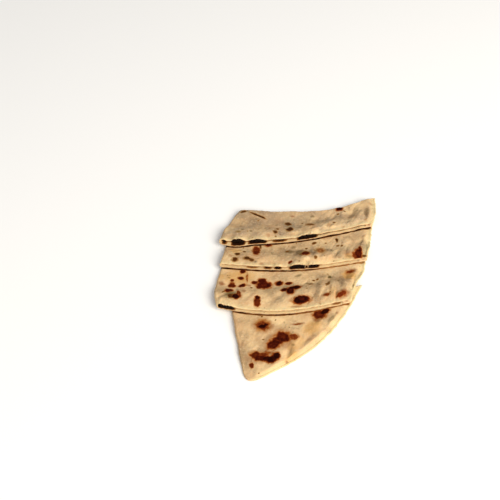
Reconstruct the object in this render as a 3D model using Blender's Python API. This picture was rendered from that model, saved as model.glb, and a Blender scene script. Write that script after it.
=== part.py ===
"""A gozleme: thin dough folded over a dark leaf filling, baked flat and cut across into four strips.

The strips lie shingled, so that each one's front edge rests on the back of the next, and together they
keep the shape of the half-moon that they were cut from, down to its rounded tip.

Metres, +Z up. X runs from the folded edge on the left to the pressed rim on the right, Y from the tip
to the last cut. The origin is the middle of the footprint, on the table.
"""

import math
from dataclasses import dataclass

import bmesh
import bpy
from mathutils import Vector, noise

MM = 0.001

# The dough and the filling
SHEET = 1.3 * MM  # one layer of baked dough
LEAST_GAP = 1.2 * MM  # between the two layers where they lie closest
FLAT_THICKNESS = 2 * SHEET + LEAST_GAP
FOLD_RADIUS = 2.0 * MM
RIM_WIDTH = 9.0 * MM  # the band along the right edge where the layers are pressed together
RIM_LIP = 3.0 * MM  # the outer part of that band, of even thickness
RIM_THICKNESS = 2.2 * MM
CLEAR = 0.3 * MM  # kept between separate pieces
FILLING_RECESS = 0.5 * MM  # how far the filling lies behind a cut

# How a strip drapes over the next one
FRONT_LIFT = FLAT_THICKNESS + CLEAR
DRAPE_RUN = 16.0 * MM  # from the next strip's back edge to where this strip meets the table
PRESSED_MARGIN = 5.0 * MM  # past the covered part, how far a strip stays pressed flat
PRESSED_FADE = 10.0 * MM

# Relief of the top layer
MOUND_HEIGHT = 1.7 * MM  # where filling bunches up
MOUND_SPACING = 30.0 * MM
RIPPLE_HEIGHT = 1.0 * MM  # puckers that run across the strip in its right half
RIPPLE_SPACING = 17.0 * MM
GAPE_DEPTH = 24.0 * MM  # how far back from the cut an opening between the layers closes

# The rounded tip
TIP_TAPER = 18.0 * MM
TIP_CAVITY_START = 26.0 * MM

# Steps of the mesh
ALONG_STEPS = 30
ROUND_STEPS = 3
ACROSS_STEPS = 10
INNER_STEPS = 5

DOUGH_COLOUR = (0.64, 0.43, 0.24, 1.0)
FILLING_COLOUR = (0.022, 0.017, 0.009, 1.0)


@dataclass(frozen=True)
class Edge:
    """One side of a strip: a line from start to end, bowed out by a half wave and a full wave."""

    start: tuple
    end: tuple
    bow: float = 0.0
    skew: float = 0.0

    def at(self, share):
        start, end = Vector(self.start) * MM, Vector(self.end) * MM
        chord = end - start
        sideways = Vector((chord.y, -chord.x)).normalized()
        offset = self.bow * math.sin(math.pi * share) + self.skew * math.sin(2 * math.pi * share)
        return start + chord * share + sideways * offset * MM


@dataclass(frozen=True)
class Gape:
    """A place at the front cut where the top layer stands up off the bottom one."""

    place: float  # share of the strip's length, from the fold
    half_width: float
    height: float


@dataclass(frozen=True)
class Strip:
    """One cut piece. Lengths are in millimetres, and its four edges meet at their ends."""

    name: str
    front: Edge
    back: Edge
    left: Edge
    right: Edge
    covered: tuple = (0.0, 0.0)  # how much of its back the strip behind it covers, left and right
    reach: tuple = (0.0, 0.0)  # how far the next strip reaches in under its front edge, likewise
    setback: float = 0.0  # how far the top layer's cut lies behind the bottom one's
    gapes: tuple = ()
    is_tip: bool = False
    seed: float = 0.0


STRIPS = (
    Strip(
        name="strip_1",
        front=Edge((-75.5, 41.0), (71.9, 64.5), 8.0, 0.5),
        back=Edge((-57.5, 85.5), (79.5, 106.0), 11.3, -1.8),
        left=Edge((-75.5, 41.0), (-57.5, 85.5), -2.6),
        right=Edge((71.9, 64.5), (79.5, 106.0), 1.7),
        reach=(12.8, 12.8),
        setback=2.6,
        gapes=(Gape(0.10, 9.0, 3.4), Gape(0.27, 9.0, 2.8), Gape(0.58, 10.0, 3.0), Gape(0.84, 8.0, 0.8)),
        seed=1.0,
    ),
    Strip(
        name="strip_2",
        front=Edge((-74.5, 12.5), (61.5, 20.5), 7.6),
        back=Edge((-67.5, 53.0), (73.5, 76.5), 8.0, 0.5),
        left=Edge((-74.5, 12.5), (-67.5, 53.0), 0.5),
        right=Edge((61.5, 20.5), (73.5, 76.5), 1.0),
        covered=(12.0, 12.0),
        reach=(11.5, 11.5),
        setback=2.2,
        gapes=(Gape(0.30, 12.0, 1.0), Gape(0.56, 10.0, 3.2), Gape(0.70, 7.0, 1.6)),
        seed=4.0,
    ),
    Strip(
        name="strip_3",
        front=Edge((-75.8, -34.0), (42.4, -27.5), 10.0, 0.5),
        back=Edge((-71.5, 23.5), (60.5, 31.0), 7.6),
        left=Edge((-75.8, -34.0), (-71.5, 23.5), -3.4, -1.0),
        right=Edge((42.4, -27.5), (60.5, 31.0), 2.2, -2.0),
        covered=(11.0, 11.0),
        reach=(12.5, 25.0),
        setback=2.0,
        gapes=(Gape(0.07, 8.0, 2.6), Gape(0.45, 20.0, 0.5), Gape(0.88, 8.0, 1.2)),
        seed=7.0,
    ),
    Strip(
        name="strip_4",
        front=Edge((-52.3, -97.5), (-40.0, -103.5), 4.0),
        back=Edge((-63.5, -24.0), (54.0, -6.5), 10.0, 0.5),
        left=Edge((-52.3, -97.5), (-63.5, -24.0), -1.0),
        right=Edge((-40.0, -103.5), (54.0, -6.5), 13.3),
        covered=(12.0, 24.0),
        is_tip=True,
        seed=11.0,
    ),
)


def smooth(value):
    """Rises from 0 to 1, level at both ends."""
    value = min(max(value, 0.0), 1.0)
    return value * value * (3 - 2 * value)


def blend(start, end, share):
    return start + (end - start) * share


def outline_point(strip, along, across):
    """Plan position: the surface spanned by the four edges."""
    rows = strip.front.at(along).lerp(strip.back.at(along), across)
    columns = strip.left.at(across).lerp(strip.right.at(across), along)
    front = Vector(strip.front.start).lerp(Vector(strip.front.end), along)
    back = Vector(strip.back.start).lerp(Vector(strip.back.end), along)
    return rows + columns - front.lerp(back, across) * MM


def width_at(strip, across):
    return (strip.right.at(across) - strip.left.at(across)).length


def depth_at(strip, along):
    return (strip.back.at(along) - strip.front.at(along)).length


def base_height(strip, along, across):
    """Height of the underside: up on the next strip in front, down on the table behind."""
    if not any(strip.reach):
        return 0.0
    from_front = depth_at(strip, along) * across
    reach = blend(*strip.reach, along) * MM
    return FRONT_LIFT * (1 - smooth((from_front - reach - CLEAR) / DRAPE_RUN))


def relief(strip, along, across):
    """How far the top layer stands above its lowest level, from filling, puckers and openings."""
    place = outline_point(strip, along, across)
    spot = Vector((place.x / MOUND_SPACING, place.y / MOUND_SPACING, strip.seed))
    mounds = MOUND_HEIGHT * max(0.0, 0.35 + noise.noise(spot))
    sway = 0.6 * noise.noise(spot * 1.7)
    pucker = 0.5 + 0.5 * math.sin(2 * math.pi * (place.x / RIPPLE_SPACING + sway) + strip.seed)
    ripples = RIPPLE_HEIGHT * smooth((along - 0.35) / 0.4) * pucker
    from_front = depth_at(strip, along) * across
    gapes = 0.0
    for gape in strip.gapes:
        offset = (along - gape.place) * width_at(strip, across) / (gape.half_width * MM)
        gapes += gape.height * MM * math.exp(-offset * offset)
    gapes *= 1 - smooth(from_front / GAPE_DEPTH)
    return mounds + ripples + gapes


def thickness(strip, along, across):
    """Outer thickness, from the pressed rim to the full bunched middle."""
    from_back = depth_at(strip, along) * (1 - across)
    pressed = blend(*strip.covered, along) * MM + PRESSED_MARGIN
    free = smooth((from_back - pressed) / PRESSED_FADE) if any(strip.covered) else 1.0
    full = FLAT_THICKNESS + relief(strip, along, across) * free
    from_rim = (1 - along) * width_at(strip, across)
    full = blend(RIM_THICKNESS, full, smooth((from_rim - RIM_LIP) / (RIM_WIDTH - RIM_LIP)))
    if strip.is_tip:
        from_tip = depth_at(strip, along) * across
        full = blend(RIM_THICKNESS, full, smooth(from_tip / TIP_TAPER))
    return full


def station(step, steps, length, radius):
    """Distance along a length, and how full the piece is there, with both ends rounded off."""
    from_end = min(step, steps - step)
    if from_end <= ROUND_STEPS:
        turn = math.pi / 2 * from_end / ROUND_STEPS
        distance, fullness = radius * (1 - math.cos(turn)), math.sin(turn)
    else:
        share = (from_end - ROUND_STEPS) / (steps - 2 * ROUND_STEPS)
        distance, fullness = radius + (length - 2 * radius) * share, 1.0
    return (distance if step == from_end else length - distance), fullness


def dough_point(strip, inner, step, top, across, fullness):
    """A point on the dough's outside, or on the wall of its hollow."""
    width = width_at(strip, across)
    if inner:
        distance, full = station(step, ALONG_STEPS, width - SHEET - RIM_WIDTH, SHEET / 2)
        distance += SHEET
    else:
        distance, full = station(step, ALONG_STEPS, width, FOLD_RADIUS)
    along = distance / width
    wall = SHEET if inner else 0.0
    low = base_height(strip, along, across) + wall
    high = low - 2 * wall + thickness(strip, along, across)
    side = 1 if top else -1
    height = (low + high) / 2 + side * full * fullness * (high - low) / 2
    place = outline_point(strip, along, across)
    back = front_setback(strip, across, (1 + side * full) / 2)
    return Vector((place.x, place.y + back, height))


def front_setback(strip, across, share):
    """How far a point's cut edge lies behind the bottom layer's, fading out towards the back."""
    return strip.setback * MM * share * (1 - smooth(across * 3))


def dough_rows(strip):
    """Rows of the dough's skin: over the outside to the back cut, then forward through the hollow."""
    rows = []
    for step in range(ACROSS_STEPS + 1):
        across, fullness = step / ACROSS_STEPS, 1.0
        if strip.is_tip:
            across, fullness = tip_row(step)
        rows.append((False, across, fullness))
    for row in range(INNER_STEPS, -1, -1):
        fullness = 0.0 if strip.is_tip and row == 0 else 1.0
        rows.append((True, inner_across(strip, row), fullness))
    if not strip.is_tip:
        rows.append(rows[0])
    return rows


def tip_share(strip):
    return TIP_CAVITY_START / depth_at(strip, 0.5)


def tip_row(step):
    """Rows of the tip: the first ones round it off and the rest are even."""
    if step <= ROUND_STEPS:
        turn = math.pi / 2 * step / ROUND_STEPS
        return 0.02 * (1 - math.cos(turn)), math.sin(turn)
    share = (step - ROUND_STEPS) / (ACROSS_STEPS - ROUND_STEPS)
    return blend(0.02, 1.0, share), 1.0


def new_piece(name, mesh, collection, parent, material):
    piece = bpy.data.objects.new(name, mesh)
    piece.parent = parent
    mesh.materials.append(material)
    mesh.shade_smooth()
    mesh.set_sharp_from_angle(angle=math.radians(40))
    collection.objects.link(piece)
    return piece


def grid_steps(vert, columns, rows):
    """Which column and row of a unit grid a vertex is in."""
    return round((vert.co.x + 0.5) * columns), round((vert.co.y + 0.5) * rows)


def make_dough(strip):
    """The folded dough: one skin rolled into a flat sleeve, closed at the tip."""
    rows = dough_rows(strip)
    columns = 2 * ALONG_STEPS
    bm = bmesh.new()
    bmesh.ops.create_grid(bm, x_segments=columns, y_segments=len(rows) - 1, size=0.5)
    for vert in bm.verts:
        column, row = grid_steps(vert, columns, len(rows) - 1)
        top = column <= ALONG_STEPS
        step = column if top else columns - column
        inner, across, fullness = rows[row]
        vert.co = dough_point(strip, inner, step, top, across, fullness)
    bmesh.ops.remove_doubles(bm, verts=bm.verts, dist=0.001 * MM)
    bmesh.ops.triangulate(bm, faces=bm.faces[:], quad_method="SHORT_EDGE")
    bmesh.ops.recalc_face_normals(bm, faces=bm.faces)
    return mesh_from(bm, strip.name + "_dough")


def make_filling(strip):
    """The filling: a slab that runs through the sleeve, its faces parallel to the walls of the hollow."""
    columns = ALONG_STEPS - 2 * ROUND_STEPS
    bm = bmesh.new()
    bmesh.ops.create_grid(bm, x_segments=columns, y_segments=INNER_STEPS, size=0.5)
    raised = bmesh.ops.extrude_face_region(bm, geom=bm.faces[:])["geom"]
    top_verts = {item for item in raised if isinstance(item, bmesh.types.BMVert)}
    for vert in bm.verts:
        column, row = grid_steps(vert, columns, INNER_STEPS)
        top = vert in top_verts
        across = inner_across(strip, row)
        point = dough_point(strip, True, column + ROUND_STEPS, top, across, 1.0)
        point.z += -CLEAR if top else CLEAR
        if row in (0, INNER_STEPS):
            point.y += FILLING_RECESS if row == 0 else -FILLING_RECESS
        if strip.is_tip and row == 0:
            point = tip_filling_point(strip, column, top)
        vert.co = point
    bmesh.ops.triangulate(bm, faces=bm.faces[:], quad_method="SHORT_EDGE")
    bmesh.ops.recalc_face_normals(bm, faces=bm.faces)
    return mesh_from(bm, strip.name + "_filling")


def inner_across(strip, row):
    start = tip_share(strip) if strip.is_tip else 0.0
    return blend(start, 1.0, row / INNER_STEPS)


def tip_filling_point(strip, column, top):
    """The filling's end near the tip, most of the way to the next row, where the hollow has opened."""
    share = 0.8
    corners = []
    for row, fullness in ((0, 0.0), (1, 1.0)):
        corners.append(dough_point(strip, True, column + ROUND_STEPS, top, inner_across(strip, row), fullness))
    point = corners[0].lerp(corners[1], share)
    point.z += -CLEAR if top else CLEAR
    return point


def mesh_from(bm, name):
    mesh = bpy.data.meshes.new(name)
    bm.to_mesh(mesh)
    bm.free()
    return mesh


def make_material(name, colour, roughness):
    material = bpy.data.materials.new(name)
    material.use_nodes = True
    shader = material.node_tree.nodes["Principled BSDF"]
    shader.inputs["Base Color"].default_value = colour
    shader.inputs["Roughness"].default_value = roughness
    shader.inputs["Metallic"].default_value = 0.0
    return material


def clear_scene():
    for item in list(bpy.data.objects):
        bpy.data.objects.remove(item)


def main():
    clear_scene()
    collection = bpy.data.collections.new("gozleme")
    bpy.context.scene.collection.children.link(collection)
    centre = bpy.data.objects.new("gozleme", None)
    collection.objects.link(centre)
    dough = make_material("baked_dough", DOUGH_COLOUR, 0.62)
    filling = make_material("leaf_filling", FILLING_COLOUR, 0.45)
    for strip in STRIPS:
        new_piece(strip.name + "_dough", make_dough(strip), collection, centre, dough)
        new_piece(strip.name + "_filling", make_filling(strip), collection, centre, filling)


main()
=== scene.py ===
"""The looks of a cut gozleme: four shingled strips of folded, toasted dough over a dark leaf filling.

Each strip's dough is one skin rolled into a flat sleeve: over the outside from the front cut to the back one,
across the thickness of the sheet, and forward again through the hollow. It follows the solid that it stands
for and adds what the solid leaves out: ragged lips, puckers, blisters and the toasted spots.
"""

import logging
import math
import random
from dataclasses import dataclass, field
from enum import Enum

import bmesh
import bpy
from mathutils import Matrix, Vector, noise

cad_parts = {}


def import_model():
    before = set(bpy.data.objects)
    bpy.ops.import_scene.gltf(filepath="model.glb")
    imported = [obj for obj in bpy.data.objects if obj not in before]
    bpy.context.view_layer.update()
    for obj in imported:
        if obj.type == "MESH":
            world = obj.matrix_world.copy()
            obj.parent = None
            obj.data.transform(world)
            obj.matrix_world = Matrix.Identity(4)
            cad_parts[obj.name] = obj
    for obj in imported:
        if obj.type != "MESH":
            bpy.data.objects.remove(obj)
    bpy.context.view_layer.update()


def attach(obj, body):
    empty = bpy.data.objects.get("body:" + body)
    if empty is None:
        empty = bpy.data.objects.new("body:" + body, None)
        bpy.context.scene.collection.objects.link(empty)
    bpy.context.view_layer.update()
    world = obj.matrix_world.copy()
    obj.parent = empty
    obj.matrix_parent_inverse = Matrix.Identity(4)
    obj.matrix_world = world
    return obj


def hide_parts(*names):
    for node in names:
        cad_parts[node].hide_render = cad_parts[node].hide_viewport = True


LOG = logging.getLogger("gozleme")
MM = 0.001
SAME_PLACE = 0.0005 * MM

Colour = tuple[float, float, float, float]
Stops = tuple[tuple[float, Colour], ...]
Marks = dict[str, float]


class Tone(Enum):
    """What a spot looks like."""

    CHAR = "char"
    BROWN = "brown"
    TAN = "tan"
    GOLD = "gold"
    OLIVE = "olive"
    # grey-brown patches: partly the filling showing through, partly painted shade in the valleys of folds
    DAMP = "damp"
    # painted highlights on ridges and other bright places of the top
    PALE = "pale"


class Side(Enum):
    """Which layer of a folded strip a point is on, as its height above or below the middle."""

    TOP = 1
    BOTTOM = -1


def smooth(value: float) -> float:
    """Rises from 0 to 1, level at both ends."""
    value = min(max(value, 0.0), 1.0)
    return value * value * (3 - 2 * value)


def fade(distance: float, reach: float) -> float:
    """Falls from 1 to 0 over a reach."""
    return 1 - smooth(distance / reach)


def blend(start: float, end: float, share: float) -> float:
    """Goes from start to end as share goes from 0 to 1."""
    return start + (end - start) * share


def ripple(x: float, y: float, z: float) -> float:
    """Smooth noise between about -1 and 1."""
    return noise.noise(Vector((x, y, z)))


@dataclass(frozen=True)
class Wave:
    """Smooth unevenness: how far apart its lumps are, how high they are, and where it starts."""

    spacing: float
    height: float
    phase: float = 0.0

    def over(self, x: float, y: float, seed: float = 0.0) -> float:
        """Finds the height at a place on a surface."""
        return self.height * ripple(x / self.spacing, y / self.spacing, seed + self.phase)

    def along(self, x: float, row: float, seed: float = 0.0) -> float:
        """Finds the height at a place on one of many separate lines."""
        return self.height * ripple(x / self.spacing, row, seed + self.phase)


@dataclass(frozen=True)
class Edge:
    """One side of a strip: a line between two corners in millimetres, bowed by half and full waves."""

    start: tuple[float, float]
    end: tuple[float, float]
    bow: float = 0.0
    skew: float = 0.0

    def at(self, share: float) -> Vector:
        """Finds a point of the edge.

        Args:
            share: how far along the edge, from 0 to 1.

        Returns:
            The point in metres, with no height.
        """
        start, end = Vector(self.start) * MM, Vector(self.end) * MM
        chord = end - start
        sideways = Vector((chord.y, -chord.x)).normalized()
        offset = self.bow * math.sin(math.pi * share) + self.skew * math.sin(2 * math.pi * share)
        return start + chord * share + sideways * offset * MM


@dataclass(frozen=True)
class Gape:
    """A place at the front cut, as a share of its length, where one layer stands up, in millimetres."""

    place: float
    half_width: float
    height: float


@dataclass(frozen=True)
class Spot:
    """A toasted or stained place on the top layer, or a painted highlight or painted shade on it: centre,
    half sizes and turn, in millimetres and degrees.

    Its depth goes from 0 to 1.
    """

    x: float
    y: float
    half_length: float
    half_width: float
    turn: float
    depth: float
    tone: Tone = Tone.CHAR

    @property
    def is_crisp(self) -> bool:
        """Whether it has a sharp outline and a halo."""
        return self.tone in (Tone.CHAR, Tone.BROWN)


@dataclass(frozen=True)
class Fold:
    """A ridge of the top layer, or below 0 a valley, from one point to another, in millimetres."""

    start: tuple[float, float]
    end: tuple[float, float]
    height: float
    half_width: float
    sharp: bool = False

    def height_at(self, place: Vector) -> float:
        """Works out how much the fold adds.

        Args:
            place: the place in plan, in millimetres.

        Returns:
            The height in millimetres.
        """
        start, end = Vector(self.start), Vector(self.end)
        run = end - start
        share = min(max((place - start).dot(run) / run.length_squared, 0.0), 1.0)
        away = (place - start - run * share).length
        if away > self.half_width * 4:
            return 0.0
        ends = 0.35 + 0.65 * math.sin(math.pi * share)
        if not self.sharp:
            return self.height * ends * math.exp(-((away / self.half_width) ** 2))
        shoulder = 0.5 * math.exp(-(((away - 2 * self.half_width) / self.half_width) ** 2))
        return self.height * ends * (math.exp(-away / self.half_width) - shoulder)


Mark = tuple[float, float, float, float, float, float]


@dataclass(frozen=True)
class PhotoView:
    """The photograph's view, which turns what was read off it in pixels into millimetres.

    It looks down at steepness degrees from a distance. focal and middle are in pixels, and aim is the place
    that the middle shows. spot_pixel and fold_pixel are the width of a pixel, and foreshortening is how much
    shorter the depth looks. A spot tilted by no more than least_tilt degrees counts as level.
    """

    steepness: float = 48.0
    distance: float = 652.0
    focal: float = 694.0
    middle: float = 250.0
    aim: tuple[float, float] = (-46.5, 37.5)
    spot_pixel: float = 0.94
    fold_pixel: float = 0.97
    foreshortening: float = 0.743
    least_tilt: float = 10.0
    digits: int = 1

    def place(self, u: float, v: float, height: float) -> tuple[float, float]:
        """Finds the place that a pixel shows.

        Args:
            u: pixels from the left.
            v: pixels from the top.
            height: height of the surface there, in millimetres.

        Returns:
            The place in plan, in millimetres.
        """
        rise = math.radians(self.steepness)
        right, up = (u - self.middle) / self.focal, (self.middle - v) / self.focal
        forward = math.cos(rise) + up * math.sin(rise)
        fall = math.sin(rise) - up * math.cos(rise)
        run = (self.distance * math.sin(rise) - height) / fall
        x, y = run * right, run * forward - self.distance * math.cos(rise)
        return x + self.aim[0], y + self.aim[1]

    def spot(self, plan: "StripPlan", tone: Tone, mark: Mark) -> Spot:
        """Makes a spot.

        Args:
            plan: the strip that it is on.
            tone: its kind.
            mark: its centre, half width and half height in pixels, tilt and depth.

        Returns:
            The spot.
        """
        u, v, half_width, half_height, tilt, depth = mark
        lean = math.radians(tilt)
        x, y = self.place(u, v, plan.top_at(v))
        if abs(tilt) > self.least_tilt:
            cos, sin = math.cos(lean), math.sin(lean)
            length = half_width * self.spot_pixel * math.hypot(cos, sin / self.foreshortening)
            width = half_height * self.spot_pixel * math.hypot(sin, cos / self.foreshortening)
        else:
            length = self.place(u + half_width, v, plan.top_at(v))[0] - x
            width = abs(self.place(u, v - half_height, plan.top_at(v - half_height))[1] - y)
        turn = math.degrees(math.atan2(math.sin(lean) / self.foreshortening, math.cos(lean)))
        sizes = (round(value, self.digits) for value in (x, y, length, width))
        return Spot(*sizes, round(turn), depth, tone)

    def fold(self, plan: "StripPlan", mark: Mark, sharp: bool) -> Fold:
        """Makes a fold.

        Args:
            plan: the strip that it is on.
            mark: its two ends in pixels, its height in millimetres and its half width in pixels.
            sharp: whether it is a sharp ridge.

        Returns:
            The fold.
        """
        u, v, far_u, far_v, height, half_width = mark
        near, far = self.place(u, v, plan.top_at(v)), self.place(far_u, far_v, plan.top_at(far_v))
        start, end = (tuple(round(value, self.digits) for value in point) for point in (near, far))
        return Fold(start, end, height, round(half_width * self.fold_pixel, self.digits), sharp)


@dataclass(frozen=True)
class StripPlan:
    """The named sizes of one cut strip, in millimetres, as the solid has them, and what is seen on it.

    The spots, folds and creases were read off the photograph and are in its pixels, for PhotoView.
    photo_rows are the pixel rows of the top's back and front edges, and top_heights its heights there.
    """

    name: str
    front: Edge
    back: Edge
    left: Edge
    right: Edge
    covered: tuple[float, float] = (0.0, 0.0)
    reach: tuple[float, float] = (0.0, 0.0)
    setback: float = 0.0
    gapes: tuple[Gape, ...] = ()
    mouths: tuple[Gape, ...] = ()
    lifts: tuple[Gape, ...] = ()
    droops: tuple[Gape, ...] = ()
    strands: tuple[float, ...] = ()
    least_lift: float = 0.5
    # how grey the top is at the fold end and at the rim end: partly painted shade, greyest on the back strip
    grey: tuple[float, float] = (0.3, 0.3)
    # how pale the top is at both ends: partly painted light, mostly paler towards the lit rim end
    pale: tuple[float, float] = (0.3, 0.3)
    # depth of the painted shadow in front of the lip of the strip behind, at the fold end and at the rim end
    contact_shadow: tuple[float, float] = (0.85, 0.85)
    is_tip: bool = False
    seed: float = 0.0
    specks: int = 30
    photo_rows: tuple[float, float] = (0.0, 1.0)
    top_heights: tuple[float, float] = (5.0, 8.5)
    spots: dict[Tone, tuple[Mark, ...]] = field(default_factory=dict)
    folds: tuple[Mark, ...] = ()
    creases: tuple[Mark, ...] = ()

    def top_at(self, v: float) -> float:
        """About how high the top is where a pixel row crosses it, in millimetres."""
        back, front = self.photo_rows
        low, high = self.top_heights
        return low + (high - low) * min(max((v - back) / (front - back), 0), 1)


@dataclass(frozen=True)
class DoughSizes:
    """Sizes that all the strips share, in metres."""

    sheet: float = 1.3 * MM
    least_gap: float = 1.2 * MM
    shut_gap: float = 0.22 * MM
    fold_radius: float = 2.0 * MM
    rim_radius: float = 1.0 * MM
    rim_width: float = 9.0 * MM
    rim_lip: float = 3.0 * MM
    rim_thickness: float = 2.2 * MM
    clear: float = 0.3 * MM
    drape_run: float = 16.0 * MM
    pressed_margin: float = 5.0 * MM
    pressed_fade: float = 10.0 * MM
    mound_height: float = 1.7 * MM
    mound_spacing: float = 30.0 * MM
    ripple_height: float = 1.0 * MM
    ripple_spacing: float = 17.0 * MM
    gape_depth: float = 24.0 * MM
    lip_depth: float = 9.0 * MM
    lip_thinning: float = 0.4 * MM
    thinning_mouth: float = 2.0 * MM
    tip_taper: float = 18.0 * MM
    tip_cavity_start: float = 26.0 * MM
    relief_fade: float = 4.0 * MM
    lift_fade: float = 6.0 * MM
    ragged_fade: float = 4.0 * MM
    rim_fade: float = 5.0 * MM
    fold_fade: float = 6.0 * MM
    uneven_depth: float = 0.9 * MM
    crimp_start: float = 1.0 * MM
    crimp_run: float = 6.0 * MM
    highest: float = 11.9 * MM
    soft_top: float = 1.2 * MM
    least_hollow: float = 0.15 * MM
    half_hollow: float = 0.07 * MM
    cut_bulge: float = 0.30 * MM
    mesh_step: float = 0.55 * MM

    @property
    def flat_thickness(self) -> float:
        """Thickness of a strip where nothing bunches up between its layers."""
        return 2 * self.sheet + self.least_gap

    @property
    def front_lift(self) -> float:
        """How high a strip's front edge lies on the strip under it."""
        return self.flat_thickness + self.clear


@dataclass
class TopRelief:
    """The fine relief of a strip's top layer: pebbles, folds and blisters, and the toasting, painted
    highlights and painted shade on it.
    """

    plan: StripPlan
    pebbles: tuple[Wave, ...] = (Wave(9.0, 0.40), Wave(3.6, 0.20, 3), Wave(1.5, 0.09, 5))
    ragged: tuple[Wave, ...] = (Wave(2.3, 0.13, 12.3), Wave(0.9, 0.05, 15.1))
    crease_width: float = 0.19
    fold_gain: float = 1.3
    loose_width: float = 2.5
    halo: float = 0.22

    def __post_init__(self) -> None:
        """Places the spots and folds and draws the small specks round them."""
        view, plan = PhotoView(), self.plan
        placed = [view.spot(plan, tone, mark) for tone, marks in plan.spots.items() for mark in marks]
        self.spots = placed + self.draw_specks()
        self.folds = [view.fold(plan, mark, False) for mark in plan.folds]
        self.folds += [view.fold(plan, mark, True) for mark in plan.creases]

    def draw_specks(self) -> list[Spot]:
        """Draws small toasted specks over the strip.

        Returns:
            Specks, the same ones on each run.
        """
        dice = random.Random(int(self.plan.seed * 17))
        plan, specks = self.plan, []
        for _ in range(plan.specks):
            along, across = dice.uniform(0.03, 0.97), dice.uniform(0.03, 0.97)
            place = plan.front.at(along).lerp(plan.back.at(along), across) / MM
            size = dice.uniform(0.35, 0.9)
            length, turn = size * dice.uniform(1.0, 1.8), dice.uniform(0, 180)
            depth = dice.uniform(0.2, 0.55)
            tone = dice.choice((Tone.BROWN, Tone.BROWN, Tone.OLIVE, Tone.TAN))
            specks.append(Spot(place.x, place.y, length, size, turn, depth, tone))
        return specks

    def toast_and_light(self, place: Vector) -> Marks:
        """Works out the toasting, the painted highlights and the painted shade at a place.

        Args:
            place: the place in plan, in metres.

        Returns:
            The depth of each tone, and how far the skin blisters, in millimetres.
        """
        x, y = place.x / MM, place.y / MM
        wander = Vector((ripple(x / 3.1, y / 3.1, 1.3), ripple(x / 3.1, y / 3.1, 7.7)))
        shiver = Vector((ripple(x / 1.1, y / 1.1, 4.1), ripple(x / 1.1, y / 1.1, 9.2)))
        found = {tone.value: 0.0 for tone in Tone}
        found["blister"] = 0.0
        for spot in self.spots:
            reach = 2.0 * max(spot.half_length, spot.half_width) + 1.5
            if abs(x - spot.x) > reach or abs(y - spot.y) > reach:
                continue
            loose = min(1.0, spot.half_width / self.loose_width)
            away = Vector((x - spot.x, y - spot.y)) + wander * 0.9 * loose + shiver * 0.25 * loose
            distance = self.distance(spot, away)
            distance += loose * sum(wave.over(x, y) for wave in self.ragged)
            value = self.strength(spot, distance)
            found[spot.tone.value] = min(1.0, (found[spot.tone.value] ** 4 + value**4) ** 0.25)
            if spot.is_crisp or spot.tone is Tone.TAN:
                dome = max(0.0, 1 - distance * distance / 1.4) * min(0.55, spot.half_width * 0.18)
                found["blister"] = max(found["blister"], dome * spot.depth)
        return found

    @staticmethod
    def distance(spot: Spot, away: Vector) -> float:
        """Measures how far out a place is in a spot.

        Args:
            spot: the spot.
            away: the place from the spot's centre, in millimetres.

        Returns:
            The distance as a share of the spot's own size.
        """
        turn = math.radians(spot.turn)
        u = (away.x * math.cos(turn) + away.y * math.sin(turn)) / spot.half_length
        v = (away.y * math.cos(turn) - away.x * math.sin(turn)) / spot.half_width
        return math.hypot(u, v) / 1.25

    def strength(self, spot: Spot, distance: float) -> float:
        """Works out how deep a spot's tone is.

        Args:
            spot: the spot.
            distance: how far out in it, as a share of its own size.

        Returns:
            The depth from 0 to 1, of the core, paler in the middle of a wide spot, or of the halo.
        """
        core = fade(distance - 0.60, 0.55) if spot.is_crisp else fade(distance - 0.3, 1.0)
        core *= 1 - 0.28 * smooth((spot.half_width - 2.4) / 1.5) * math.exp(-((distance / 0.5) ** 2))
        halo = self.halo * fade(distance - 0.9, 0.8) if spot.is_crisp else 0.0
        return max(core * spot.depth, halo * min(1.0, spot.depth * 1.2) * min(1.0, spot.half_width / 1.5))

    def height(self, place: Vector, along: float, blister: float) -> float:
        """Works out the fine relief at a place.

        Args:
            place: the place in plan, in metres.
            along: share of the strip's length.
            blister: how far the skin blisters there, in millimetres.

        Returns:
            The height to add to the top, in metres.
        """
        x, y, seed = place.x / MM, place.y / MM, self.plan.seed
        pebbles = sum(wave.over(x, y, seed) for wave in self.pebbles)
        leaning = Vector((x * 0.90 - y * 0.43, x * 0.43 + y * 0.90))
        crinkle = ripple(leaning.x / 6.0, leaning.y / 17.0, seed + 9)
        creases = math.exp(-((crinkle / self.crease_width) ** 2))
        creases *= blend(0.10, 0.34, smooth((along - 0.3) / 0.4))
        creases *= 0.5 if self.plan.is_tip else 1.0
        folds = sum(fold.height_at(Vector((x, y))) for fold in self.folds)
        return (pebbles + blister + self.fold_gain * folds - creases) * MM


@dataclass(frozen=True)
class Layers:
    """Heights of a strip's four surfaces at one place, from the bottom up, with the toasting and painted
    light there.
    """

    low: float
    inner_low: float
    inner_high: float
    high: float
    toast_and_light: Marks


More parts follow.
